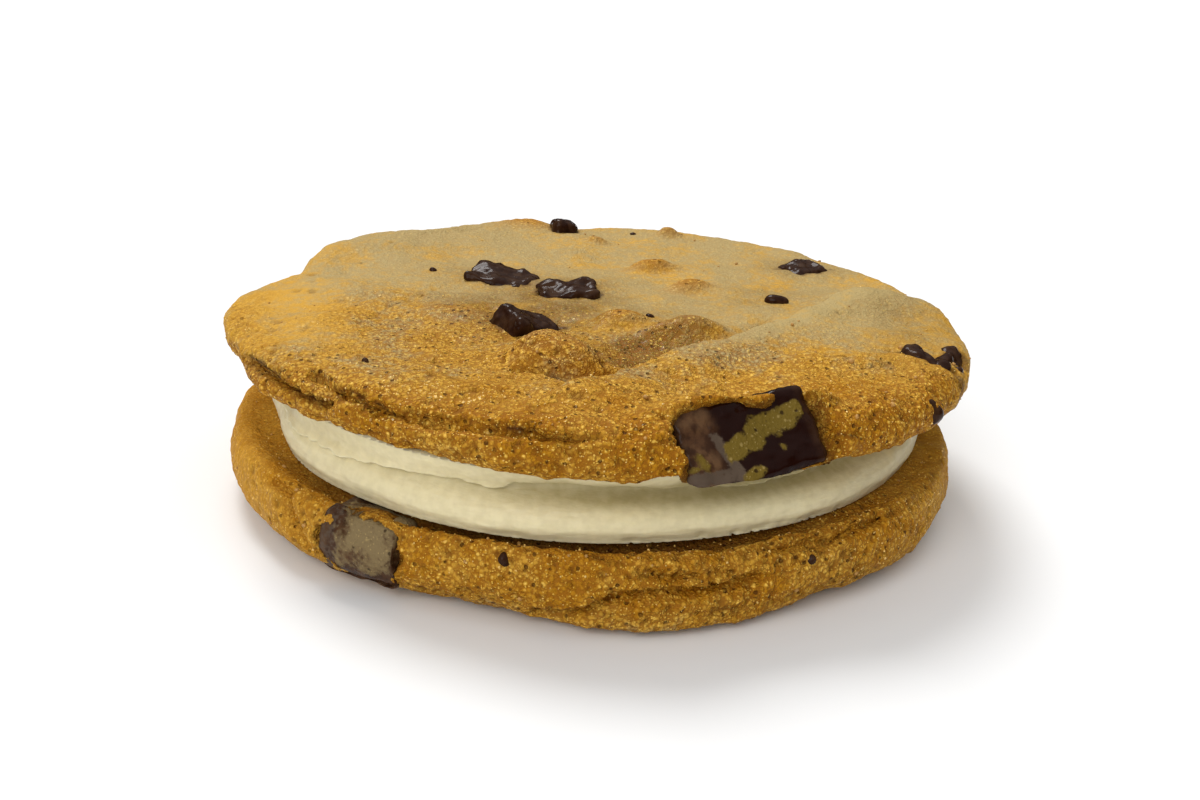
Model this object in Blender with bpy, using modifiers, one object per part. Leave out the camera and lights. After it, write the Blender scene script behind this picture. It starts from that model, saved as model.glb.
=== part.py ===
"""Cookie sandwich: two soft baked cookies with chocolate chunks, and a disc of cream between them.

The lower cookie lies with its domed side down, and the upper cookie with its domed side up. Each
large chunk is its own piece in a pocket of the dough. Lengths are in metres and +Z is up. The view
from the front looks along +Y.
"""

import math
from dataclasses import dataclass

import bmesh
import bpy
from mathutils import Euler, Matrix, Vector, noise

MM = 0.001

# Driving sizes of the whole
COOKIE_RADIUS = 48.0 * MM
LOWER_HEIGHT = 9.5 * MM
CREAM_HEIGHT = 7.2 * MM
UPPER_HEIGHT = 5.3 * MM
TOUCH_GAP = 0.3 * MM
POCKET_GAP = 0.35 * MM

# Levels of the stack, from the table up
LOWER_FLAT = LOWER_HEIGHT
CREAM_LOW = LOWER_FLAT + TOUCH_GAP
CREAM_TOP = CREAM_LOW + CREAM_HEIGHT
UPPER_FLAT = CREAM_TOP + TOUCH_GAP
UPPER_TOP = UPPER_FLAT + UPPER_HEIGHT

# The rim of each cookie
LOWER_EDGE_INSET = 1.7 * MM
LOWER_WIDEST = 5.2 * MM
LOWER_FOOT_INSET = 13.0 * MM
LOWER_FULLNESS = 0.48
LOWER_EDGE_FOLLOW = 0.4
UPPER_EDGE_INSET = 2.6 * MM
UPPER_WIDEST = 2.8 * MM
UPPER_SHOULDER_INSET = 4.2 * MM

# The cream
CREAM_RADIUS = 44.2 * MM
CREAM_FOOT_INSET = 0.5 * MM
CREAM_FOOT_SHARE = 0.2
CREAM_HOLLOW = 2.1 * MM
CREAM_HOLLOW_SHARE = 0.62
CREAM_HOLLOW_HALF_SHARE = 0.2
CREAM_LEDGE_SHARE = 0.5
CREAM_LEDGE_INSET = 1.3 * MM

# How finely each turned piece is divided: round its axis, over one face, round its rim, over the other face
UPPER_STEPS = (84, 4, 10, 11)
LOWER_STEPS = (76, 4, 9, 3)
CREAM_STEPS = (66, 2, 8, 2)
LUMP_SIZE = 9.0 * MM
LUMP_HEIGHT = 0.5 * MM
SHARP_ANGLE = 50

# How steeply the crack and the fold end: the power of their fall-off round the rim
END_POWER = 4

# Colour and roughness of each material
DOUGH_COLOUR, DOUGH_ROUGHNESS = (0.52, 0.29, 0.09), 0.62
CREAM_COLOUR, CREAM_ROUGHNESS = (0.86, 0.84, 0.66), 0.5
CHOCOLATE_COLOUR, CHOCOLATE_ROUGHNESS = (0.045, 0.022, 0.02), 0.32


@dataclass(frozen=True)
class Mound:
    """A rounded rise of the dough, or a dent where its height is negative."""

    x: float
    y: float
    half_length: float
    half_width: float
    turn: float
    height: float


@dataclass(frozen=True)
class Swell:
    """A stretch of the outline that stands out past the round, or in where its amount is negative."""

    angle: float
    half_width: float
    amount: float


@dataclass(frozen=True)
class Chunk:
    """A piece of chocolate: its three sizes, where its middle is, and how it is turned, in degrees.

    bare is how far the dough is kept clear of the chunk's outer face.
    """

    name: str
    cookie: str
    size: tuple
    place: tuple
    turn: tuple
    bare: float = 0.0


UPPER_MOUNDS = (
    Mound(x=-3.0, y=-25.5, half_length=7.0, half_width=4.2, turn=-12, height=1.5),
    Mound(x=-12.0, y=-36.0, half_length=20.0, half_width=6.0, turn=-22, height=1.2),
    Mound(x=10.0, y=-28.0, half_length=11.0, half_width=6.0, turn=35, height=1.6),
    Mound(x=27.0, y=-13.0, half_length=17.0, half_width=8.5, turn=42, height=1.6),
    Mound(x=30.0, y=-29.0, half_length=8.0, half_width=6.0, turn=40, height=0.6),
    Mound(x=36.0, y=6.0, half_length=7.0, half_width=6.0, turn=20, height=1.0),
    Mound(x=9.0, y=-14.5, half_length=12.0, half_width=4.0, turn=38, height=-0.7),
    Mound(x=-6.5, y=42.0, half_length=7.0, half_width=5.0, turn=0, height=0.9),
    Mound(x=-46.0, y=-1.0, half_length=8.0, half_width=13.0, turn=0, height=-1.0),
    Mound(x=-37.0, y=27.0, half_length=8.0, half_width=9.0, turn=-30, height=1.0),
    Mound(x=-24.0, y=40.0, half_length=26.0, half_width=13.0, turn=28, height=1.2),
    Mound(x=26.0, y=40.0, half_length=26.0, half_width=13.0, turn=-32, height=1.0),
)

UPPER_SWELLS = (
    Swell(angle=181, half_width=11, amount=1.4 * MM),
    Swell(angle=163, half_width=6, amount=-1.9 * MM),
    Swell(angle=145, half_width=8, amount=1.3 * MM),
    Swell(angle=203, half_width=9, amount=-1.0 * MM),
    Swell(angle=240, half_width=22, amount=-1.5 * MM),
    Swell(angle=292, half_width=11, amount=-0.5 * MM),
    Swell(angle=41, half_width=6, amount=-0.8 * MM),
    Swell(angle=335, half_width=30, amount=0.5 * MM),
)

LOWER_SWELLS = (
    Swell(angle=160, half_width=16, amount=-1.3 * MM),
    Swell(angle=230, half_width=12, amount=0.9 * MM),
    Swell(angle=252, half_width=10, amount=-0.9 * MM),
    Swell(angle=206, half_width=12, amount=0.5 * MM),
    Swell(angle=278, half_width=13, amount=0.8 * MM),
    Swell(angle=318, half_width=9, amount=0.6 * MM),
    Swell(angle=4, half_width=20, amount=-1.2 * MM),
)

CREAM_SWELLS = (
    Swell(angle=200, half_width=14, amount=-1.7 * MM),
    Swell(angle=262, half_width=22, amount=0.9 * MM),
    Swell(angle=335, half_width=24, amount=-1.0 * MM),
    Swell(angle=95, half_width=30, amount=-0.7 * MM),
)

# The crack under the upper cookie's front left edge, where a thin lower layer stands back
CRACK_ANGLE = 236
CRACK_HALF_WIDTH = 26
CRACK_SHARE = 0.56
CRACK_HALF_SHARE = 0.09
CRACK_DEPTH = 1.5 * MM
LAYER_DEPTH = 2.3 * MM

# The fold low on the lower cookie's front, where a lobe of dough tucks under
FOLD_ANGLE = 282
FOLD_HALF_WIDTH = 17
FOLD_SHARE = 0.66
FOLD_HALF_SHARE = 0.07
FOLD_DEPTH = 0.9 * MM
FOLD_FOOT_REACH = 2.6 * MM
LOBE_SHARE = 0.8
LOBE_HALF_SHARE = 0.1
LOBE_DEPTH = 1.3 * MM

CHUNKS = (
    Chunk("front_chunk", "upper_cookie", (16.2, 9.4, 4.6), (16.2, -39.6, 19.8), (48, -7, 24), bare=4.0),
    Chunk("left_top_chunk", "upper_cookie", (8.6, 5.6, 4.0), (-14.0, 13.5, 21.2), (6, 14, -18)),
    Chunk("middle_top_chunk", "upper_cookie", (7.6, 4.2, 3.8), (-4.2, 8.0, 21.6), (10, -8, 14)),
    Chunk("near_top_chunk", "upper_cookie", (5.8, 4.6, 4.2), (-8.6, -10.0, 21.6), (20, 24, 38)),
    Chunk("back_chunk", "upper_cookie", (3.9, 6.4, 4.2), (-6.6, 42.2, 21.5), (-12, 6, 8)),
    Chunk("right_back_chunk", "upper_cookie", (6.0, 5.2, 3.6), (30.6, 24.6, 21.1), (4, -10, 30)),
    Chunk("right_edge_chunk", "upper_cookie", (7.6, 3.6, 4.0), (42.8, -15.0, 19.9), (0, 32, 64)),
    Chunk("rear_rim_chunk", "upper_cookie", (9.4, 6.0, 4.2), (-27.0, 35.8, 20.2), (-34, 0, 36)),
    Chunk("lower_left_chunk", "lower_cookie", (9.6, 6.4, 7.4), (-24.0, -39.2, 5.5), (-3, 2, -31)),
    Chunk("lower_rear_chunk", "lower_cookie", (10.5, 5.6, 5.4), (19.7, 42.0, 4.9), (8, 0, -25)),
)

# The level of the baking sheet that each cookie's upper-side chunks can't pass
SHEET_LEVELS = {"upper_cookie": UPPER_FLAT, "lower_cookie": 0.0}
CHUNK_TAPER = 0.12
CHUNK_BEVEL = 0.7 * MM


def angle_between(first, second):
    """The turn in degrees from one direction to another, from 0 to 180."""
    return abs((first - second + 180) % 360 - 180)


def swell_at(swells, angle):
    """How far the outline stands out at this angle."""
    return sum(s.amount * math.exp(-((angle_between(angle, s.angle) / s.half_width) ** 2)) for s in swells)


def mound_height(mounds, x, y):
    """The height that the mounds add above this point, in metres."""
    total = 0.0
    for mound in mounds:
        turn = math.radians(mound.turn)
        along = (x / MM - mound.x) * math.cos(turn) + (y / MM - mound.y) * math.sin(turn)
        across = (y / MM - mound.y) * math.cos(turn) - (x / MM - mound.x) * math.sin(turn)
        spread = (along / mound.half_length) ** 2 + (across / mound.half_width) ** 2
        total += mound.height * MM * math.exp(-spread)
    return total


def lump(x, y, layer):
    """A gentle unevenness of the dough, the same on each run."""
    return LUMP_HEIGHT * noise.noise(Vector((x / LUMP_SIZE, y / LUMP_SIZE, layer)))


def rim_point(share, edge, widest, shoulder, low, middle, high, fullness=1.0):
    """Radius and height round a rim, from the flat side's edge at 0 to the domed side's shoulder at 1.

    A fullness under 1 fills the shoulder out.
    """
    turn = math.pi * (share - 0.5)
    if turn < 0:
        return edge + (widest - edge) * math.cos(turn), middle + (middle - low) * math.sin(turn)
    out = max(0.0, math.cos(turn)) ** fullness
    return shoulder + (widest - shoulder) * out, middle + (high - middle) * math.sin(turn)


def upper_cookie_point(angle, face, share):
    """The upper cookie's surface. face is flat, rim or dome, and share runs from 0 to 1 along it."""
    widest = COOKIE_RADIUS + swell_at(UPPER_SWELLS, angle)
    in_crack = math.exp(-((angle_between(angle, CRACK_ANGLE) / CRACK_HALF_WIDTH) ** END_POWER))
    edge = widest - UPPER_EDGE_INSET - in_crack * LAYER_DEPTH
    shoulder = widest - UPPER_SHOULDER_INSET
    way = Vector((math.cos(math.radians(angle)), math.sin(math.radians(angle))))
    if face == "flat":
        spot = way * edge * share
        return Vector((spot.x, spot.y, UPPER_FLAT))
    if face == "dome":
        spot = way * shoulder * (1 - share)
        high = UPPER_TOP + mound_height(UPPER_MOUNDS, spot.x, spot.y) + lump(spot.x, spot.y, 0.0)
        return Vector((spot.x, spot.y, high))
    spot = way * shoulder
    high = UPPER_TOP + mound_height(UPPER_MOUNDS, spot.x, spot.y) + lump(spot.x, spot.y, 0.0)
    radius, level = rim_point(share, edge, widest, shoulder, UPPER_FLAT, UPPER_FLAT + UPPER_WIDEST, high)
    radius -= in_crack * CRACK_DEPTH * math.exp(-(((share - CRACK_SHARE) / CRACK_HALF_SHARE) ** 2))
    return Vector((way.x * radius, way.y * radius, level))


def lower_cookie_point(angle, face, share):
    """The lower cookie's surface: its flat side is on top, and its dome has a flat foot to rest on."""
    widest = COOKIE_RADIUS + swell_at(LOWER_SWELLS, angle)
    in_fold = math.exp(-((angle_between(angle, FOLD_ANGLE) / FOLD_HALF_WIDTH) ** END_POWER))
    edge = COOKIE_RADIUS - LOWER_EDGE_INSET + LOWER_EDGE_FOLLOW * swell_at(LOWER_SWELLS, angle)
    foot = COOKIE_RADIUS - LOWER_FOOT_INSET + in_fold * FOLD_FOOT_REACH
    way = Vector((math.cos(math.radians(angle)), math.sin(math.radians(angle))))
    if face == "flat":
        return Vector((way.x * edge * share, way.y * edge * share, LOWER_FLAT))
    if face == "dome":
        return Vector((way.x * foot * (1 - share), way.y * foot * (1 - share), 0.0))
    radius, level = rim_point(share, edge, widest, foot, LOWER_FLAT, LOWER_WIDEST, 0.0, LOWER_FULLNESS)
    radius -= in_fold * FOLD_DEPTH * math.exp(-(((share - FOLD_SHARE) / FOLD_HALF_SHARE) ** 2))
    radius += in_fold * LOBE_DEPTH * math.exp(-(((share - LOBE_SHARE) / LOBE_HALF_SHARE) ** 2))
    return Vector((way.x * radius, way.y * radius, level))


def cream_point(angle, face, share):
    """The cream's surface: a full lower band, a hollow above it and a thin ledge under the upper cookie."""
    outer = CREAM_RADIUS + swell_at(CREAM_SWELLS, angle)
    top_radius = outer - CREAM_LEDGE_INSET
    way = Vector((math.cos(math.radians(angle)), math.sin(math.radians(angle))))
    if face == "flat":
        radius, level = (outer - CREAM_FOOT_INSET) * share, CREAM_LOW
    elif face == "dome":
        radius, level = top_radius * (1 - share), CREAM_TOP
    else:
        radius = outer - CREAM_FOOT_INSET * (1 - min(1.0, share / CREAM_FOOT_SHARE))
        radius -= CREAM_HOLLOW * math.exp(-(((share - CREAM_HOLLOW_SHARE) / CREAM_HOLLOW_HALF_SHARE) ** 2))
        radius -= CREAM_LEDGE_INSET * max(0.0, share - CREAM_LEDGE_SHARE) / (1 - CREAM_LEDGE_SHARE)
        level = CREAM_LOW + CREAM_HEIGHT * share
    return Vector((way.x * radius, way.y * radius, level))


def turned_piece(name, steps, surface):
    """A closed piece from a sphere, with its rings moved to the flat side, the rim and the dome."""
    around, flat_rings, rim_rings, dome_rings = steps
    rings = flat_rings + rim_rings + dome_rings
    bm = bmesh.new()
    bmesh.ops.create_uvsphere(bm, u_segments=around, v_segments=rings, radius=1.0)
    for vert in bm.verts:
        ring = round((math.pi - math.acos(max(-1.0, min(1.0, vert.co.z)))) / math.pi * rings)
        angle = math.degrees(math.atan2(vert.co.y, vert.co.x))
        if ring < flat_rings:
            vert.co = surface(angle, "flat", ring / flat_rings)
        elif ring <= flat_rings + rim_rings:
            vert.co = surface(angle, "rim", (ring - flat_rings) / rim_rings)
        else:
            vert.co = surface(angle, "dome", (ring - flat_rings - rim_rings) / dome_rings)
    bmesh.ops.recalc_face_normals(bm, faces=bm.faces)
    return finish_mesh(name, bm)


def finish_mesh(name, bm):
    """Turns the edited mesh into a smooth-shaded object."""
    bmesh.ops.triangulate(bm, faces=bm.faces)
    mesh = bpy.data.meshes.new(name)
    bm.to_mesh(mesh)
    bm.free()
    mesh.shade_smooth()
    mesh.set_sharp_from_angle(angle=math.radians(SHARP_ANGLE))
    return bpy.data.objects.new(name, mesh)


def chunk_frame(chunk):
    """Where a chunk lies and how it is turned."""
    turn = Euler([math.radians(part) for part in chunk.turn], "XYZ").to_matrix().to_4x4()
    return Matrix.Translation(Vector(chunk.place) * MM) @ turn


def block(name, chunk, grow, reach=0.0):
    """A block that narrows towards one end, as a piece broken off a bar does, cut flat where the sheet was.

    grow makes it larger all round, and reach moves its outer face further out.
    """
    bm = bmesh.new()
    bmesh.ops.create_cube(bm, size=1.0)
    for vert in bm.verts:
        outer = vert.co.z > 0
        narrow = 1 - CHUNK_TAPER * (vert.co.x + 0.5)
        lean = CHUNK_TAPER * vert.co.y
        vert.co.y *= narrow
        vert.co.z *= narrow
        vert.co.x += lean
        vert.co = Vector(side * (length * MM + 2 * grow) for side, length in zip(vert.co, chunk.size))
        if outer:
            vert.co.z += reach
    frame = chunk_frame(chunk)
    bm.transform(frame)
    sheet = Vector((0.0, 0.0, SHEET_LEVELS[chunk.cookie] - grow))
    everything = [*bm.verts, *bm.edges, *bm.faces]
    cut = bmesh.ops.bisect_plane(bm, geom=everything, plane_co=sheet, plane_no=(0, 0, -1), clear_outer=True)
    rim = [part for part in cut["geom_cut"] if isinstance(part, bmesh.types.BMEdge)]
    if rim:
        bmesh.ops.contextual_create(bm, geom=rim)
    bm.transform(frame.inverted())
    bmesh.ops.recalc_face_normals(bm, faces=bm.faces)
    mesh = bpy.data.meshes.new(name)
    bm.to_mesh(mesh)
    bm.free()
    obj = bpy.data.objects.new(name, mesh)
    obj.matrix_world = frame
    return obj


def make_chunk(chunk, material):
    """One piece of chocolate with rounded edges."""
    obj = block(chunk.name, chunk, 0.0)
    bevel = obj.modifiers.new("rounded_edges", "BEVEL")
    bevel.width = CHUNK_BEVEL
    bevel.segments = 2
    obj.data.shade_smooth()
    obj.data.materials.append(material)
    return obj


def cut_pocket(cookie, chunk, cutters):
    """Cuts the chunk's pocket out of the cookie, a little larger than the chunk."""
    cutter = block(chunk.name + "_pocket", chunk, POCKET_GAP, chunk.bare * MM)
    cutter.hide_render = True
    cutter.display_type = "WIRE"
    cutters.objects.link(cutter)
    pocket = cookie.modifiers.new(chunk.name, "BOOLEAN")
    pocket.operation = "DIFFERENCE"
    pocket.object = cutter


def plain_material(name, colour, roughness, metallic=0.0):
    """A surface with one colour and roughness."""
    material = bpy.data.materials.new(name)
    material.use_nodes = True
    shader = material.node_tree.nodes["Principled BSDF"]
    shader.inputs["Base Color"].default_value = (*colour, 1.0)
    shader.inputs["Roughness"].default_value = roughness
    shader.inputs["Metallic"].default_value = metallic
    return material


def clear_scene():
    """Removes whatever the scene holds."""
    for obj in list(bpy.data.objects):
        bpy.data.objects.remove(obj, do_unlink=True)


def new_collection(name):
    """A collection under the scene's own."""
    collection = bpy.data.collections.new(name)
    bpy.context.scene.collection.children.link(collection)
    return collection


def centre_on_origin(pieces, followers):
    """Moves everything so that the whole stands centred over the origin, with its foot at zero."""
    bpy.context.view_layer.update()
    corners = [piece.matrix_world @ Vector(corner) for piece in pieces for corner in piece.bound_box]
    lows = [min(corner[axis] for corner in corners) for axis in range(3)]
    highs = [max(corner[axis] for corner in corners) for axis in range(3)]
    shift = Vector(((lows[0] + highs[0]) / 2, (lows[1] + highs[1]) / 2, lows[2]))
    for obj in [*pieces, *followers]:
        obj.location = obj.location - shift


def main():
    clear_scene()
    parts = new_collection("cookie_sandwich")
    cutters = new_collection("cutters")

    dough = plain_material("dough", DOUGH_COLOUR, DOUGH_ROUGHNESS)
    cream = plain_material("cream", CREAM_COLOUR, CREAM_ROUGHNESS)
    chocolate = plain_material("chocolate", CHOCOLATE_COLOUR, CHOCOLATE_ROUGHNESS)

    lower_cookie = turned_piece("lower_cookie", LOWER_STEPS, lower_cookie_point)
    lower_cookie.data.materials.append(dough)
    filling = turned_piece("cream_filling", CREAM_STEPS, cream_point)
    filling.data.materials.append(cream)
    upper_cookie = turned_piece("upper_cookie", UPPER_STEPS, upper_cookie_point)
    upper_cookie.data.materials.append(dough)
    cookies = {"lower_cookie": lower_cookie, "upper_cookie": upper_cookie}

    chunks = []
    for chunk in CHUNKS:
        chunks.append(make_chunk(chunk, chocolate))
        cut_pocket(cookies[chunk.cookie], chunk, cutters)

    pieces = [lower_cookie, filling, upper_cookie, *chunks]
    for piece in pieces:
        parts.objects.link(piece)
    centre_on_origin(pieces, list(cutters.objects))


main()
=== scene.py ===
"""The looks of a cookie sandwich: two baked cookies with chocolate chunks, and a thick cream filling.

Sizes and places are written in millimetres in the shared frame, +Z up, with the front towards -Y.
Angles are in degrees round the upright axis, from +X towards +Y. Meshes are written in metres.
AXIS is the middle of both cookies, and FAR is farther than anything here reaches.
"""

import logging
import math
from dataclasses import dataclass
from enum import Enum
from itertools import product

import bpy
import numpy as np
from mathutils import Euler, Matrix, Vector


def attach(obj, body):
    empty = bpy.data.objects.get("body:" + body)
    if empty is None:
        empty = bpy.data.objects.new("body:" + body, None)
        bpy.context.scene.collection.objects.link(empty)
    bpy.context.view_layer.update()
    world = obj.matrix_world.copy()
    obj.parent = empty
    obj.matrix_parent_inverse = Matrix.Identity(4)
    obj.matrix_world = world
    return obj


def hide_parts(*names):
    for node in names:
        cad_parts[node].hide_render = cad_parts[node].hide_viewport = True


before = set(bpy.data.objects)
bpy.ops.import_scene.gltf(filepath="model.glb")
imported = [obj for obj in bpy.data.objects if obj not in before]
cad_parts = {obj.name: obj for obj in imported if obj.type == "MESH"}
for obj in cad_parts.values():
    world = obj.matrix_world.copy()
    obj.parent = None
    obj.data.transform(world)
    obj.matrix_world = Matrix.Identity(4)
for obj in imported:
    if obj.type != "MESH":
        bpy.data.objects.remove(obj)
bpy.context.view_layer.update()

LOG = logging.getLogger("cookie_sandwich")
BODY = "root"
MM = 0.001
AXIS = np.array((0.568, 0.273, 0.0))
NOISE_SEED = 4
NOISE_REACH = 1.5
NOISE_WAYS = np.random.default_rng(NOISE_SEED).normal(size=(4096, 3))
NOISE_WAYS *= NOISE_REACH / np.linalg.norm(NOISE_WAYS, axis=1, keepdims=True)
CELL_PRIMES = (73856093, 19349663, 83492791)
LAYER_STEP = 17.3
OCTAVE_STEP = 5.1
FAR = 50.0
WINDOW_MARGIN = 6.0
FACING_FROM = -4.5
FULL_TURN = 6.28
LEAST_SHARE = 1e-9

Array = np.ndarray
Point = tuple[float, float, float]
Colour = tuple[float, float, float]


class Slot(Enum):
    """The record's material slots."""

    DOUGH = "dough"
    CREAM = "cream"
    CHOCOLATE = "chocolate"


class Face(Enum):
    """The three stretches of a turned body's surface, from its lowest ring up."""

    LOWER = 0
    RIM = 1
    UPPER = 2


def angle_between(first: Array, second: float) -> Array:
    """The turn in degrees between directions, from 0 to 180."""
    return np.abs((first - second + 180.0) % 360.0 - 180.0)


def fall(distance: Array, width: float | Array, power: float = 2.0) -> Array:
    """A soft fall from 1 at no distance to nearly 0 past the width."""
    return np.exp(-(np.abs(distance / width) ** power))


def rise(low: float, high: float, value: Array) -> Array:
    """A smooth rise from 0 at low to 1 at high, or the other way round where low is the greater."""
    share = np.clip((value - low) / (high - low), 0.0, 1.0)
    return share * share * (3.0 - 2.0 * share)


def noise_at(points: Array, size: float, layer: float, octaves: int = 1) -> Array:
    """Soft noise at each point, from about -1 to 1.

    Args:
        points: places in millimetres, one a row.
        size: the width of the largest swells.
        layer: which of many unlike patterns to take.
        octaves: how many finer patterns are added, each half as large.

    Returns:
        One value a point.
    """
    total = np.zeros(len(points))
    for octave in range(octaves):
        spots = points * (2**octave / size) + LAYER_STEP * layer + OCTAVE_STEP * octave
        cell = np.floor(spots).astype(np.int64)
        part = spots - cell
        soft = part * part * (3.0 - 2.0 * part)
        for corner in product((0, 1), repeat=3):
            x, y, z = ((cell + corner) * CELL_PRIMES).T
            ways = NOISE_WAYS[(x ^ y ^ z) % len(NOISE_WAYS)]
            weight = np.prod(np.where(corner, soft, 1.0 - soft), axis=1)
            total += weight * np.einsum("ij,ij->i", ways, part - corner) / 2**octave
    return total


def polar(points: Array) -> tuple[Array, Array]:
    """The radius and the angle of each point round the cookies' axis."""
    flat = points[:, :2] - AXIS[:2]
    return np.hypot(flat[:, 0], flat[:, 1]), np.degrees(np.arctan2(flat[:, 1], flat[:, 0])) % 360.0


@dataclass(frozen=True)
class Patch:
    """A soft oval on the cookie's plan: a rise, a dent or a stain, as its user takes it."""

    x: float
    y: float
    half_length: float
    half_width: float
    turn: float = 0.0
    amount: float = 1.0
    power: float = 2.0

    def at(self, points: Array) -> Array:
        """How strongly the patch is felt at each point."""
        turn = math.radians(self.turn)
        x, y = points[:, 0] - self.x, points[:, 1] - self.y
        along = (x * math.cos(turn) + y * math.sin(turn)) / self.half_length
        across = (y * math.cos(turn) - x * math.sin(turn)) / self.half_width
        return self.amount * fall(np.hypot(along, across), 1.0, self.power)


@dataclass(frozen=True)
class Swell:
    """A stretch of the outline that stands out, or in where its amount is negative."""

    angle: float
    half_width: float
    amount: float
    power: float = 2.0

    def at(self, angle: Array) -> Array:
        """How far the outline stands out at each angle."""
        return self.amount * fall(angle_between(angle, self.angle), self.half_width, self.power)


@dataclass(frozen=True)
class Groove:
    """A crack or crease along a line on the surface.

    above and below are how far it reaches on the two sides of its line. A short reach above and a long one
    below leave an overhanging lip. dark is how strongly its depth is darkened as painted shade. Where
    any_level is set, only the place on the plan counts, and the levels of the line aren't read.
    """

    line: tuple[Point, ...]
    depth: float
    above: float
    below: float
    dark: float = 1.0
    ragged: float = 0.35
    any_level: bool = False
    wander_size: float = 1.6
    lean: float = 0.35
    edge_power: float = 3.0

    def at(self, points: Array) -> Array:
        """How deep the groove is at each point, as a share of its depth.

        Args:
            points: places in millimetres, one a row.

        Returns:
            Shares from 0 to 1.
        """
        line, margin = np.array(self.line), 3.0 * max(self.above, self.below) + 1.0
        if self.any_level:
            points = points * (1.0, 1.0, 0.0)
            line = line * (1.0, 1.0, 0.0)
        near = np.all((points > line.min(axis=0) - margin) & (points < line.max(axis=0) + margin), axis=1)
        moved = points[near]
        moved[:, 1 if self.any_level else 2] += self.ragged * noise_at(moved, self.wander_size, 3.0, 2)
        best = np.full(len(moved), FAR)
        height = np.zeros(len(moved))
        for first, end in zip(line, line[1:]):
            way = end - first
            share = np.clip(((moved - first) @ way) / (way @ way), 0.0, 1.0)
            gap = moved - (first + share[:, None] * way)
            distance = np.linalg.norm(gap, axis=1)
            closer = distance < best
            best = np.where(closer, distance, best)
            height = np.where(closer, gap[:, 2] + self.lean * gap[:, 1], height)
        depth = np.zeros(len(points))
        depth[near] = fall(best, np.where(height > 0, self.above, self.below), self.edge_power)
        return depth


@dataclass(frozen=True)
class Ridge:
    """A fold of dough along a line on the plan, which falls steeply on its left and gently on its right."""

    line: tuple[tuple[float, float], ...]
    height: float
    steep: float
    gentle: float

    def at(self, points: Array) -> Array:
        """The height that the fold adds at each point.

        Args:
            points: places in millimetres, one a row.

        Returns:
            Heights in millimetres.
        """
        best = np.full(len(points), np.inf)
        side = np.zeros(len(points))
        for start, end in zip(self.line, self.line[1:]):
            first, way = np.array(start), np.array(end) - np.array(start)
            share = np.clip(((points[:, :2] - first) @ way) / (way @ way), 0.0, 1.0)
            gap = points[:, :2] - (first + share[:, None] * way)
            distance = np.linalg.norm(gap, axis=1)
            closer = distance < best
            best = np.where(closer, distance, best)
            side = np.where(closer, way[0] * gap[:, 1] - way[1] * gap[:, 0], side)
        return self.height * fall(best, np.where(side > 0, self.steep, self.gentle))


@dataclass(frozen=True)
class Window:
    """Where a chunk shows through the dough: an uneven oval or box on the chunk's own outer face.

    The dough stops at the gap round the window. A collar with a lip rises round it, above the height
    collar_from, and the bed under it is sunk. A flush window has neither.
    """

    half_x: float
    half_y: float
    off_x: float = 0.0
    off_y: float = 0.0
    ragged: float = 0.5
    gap: float = 0.5
    lip: float = 0.25
    squareness: float = 4.0
    collar_from: float = -2.0
    brow: Swell = Swell(0.0, 1.0, 0.0)
    flush: bool = False
    collar_width: float = 2.6
    bed_depth: float = 1.7


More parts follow.
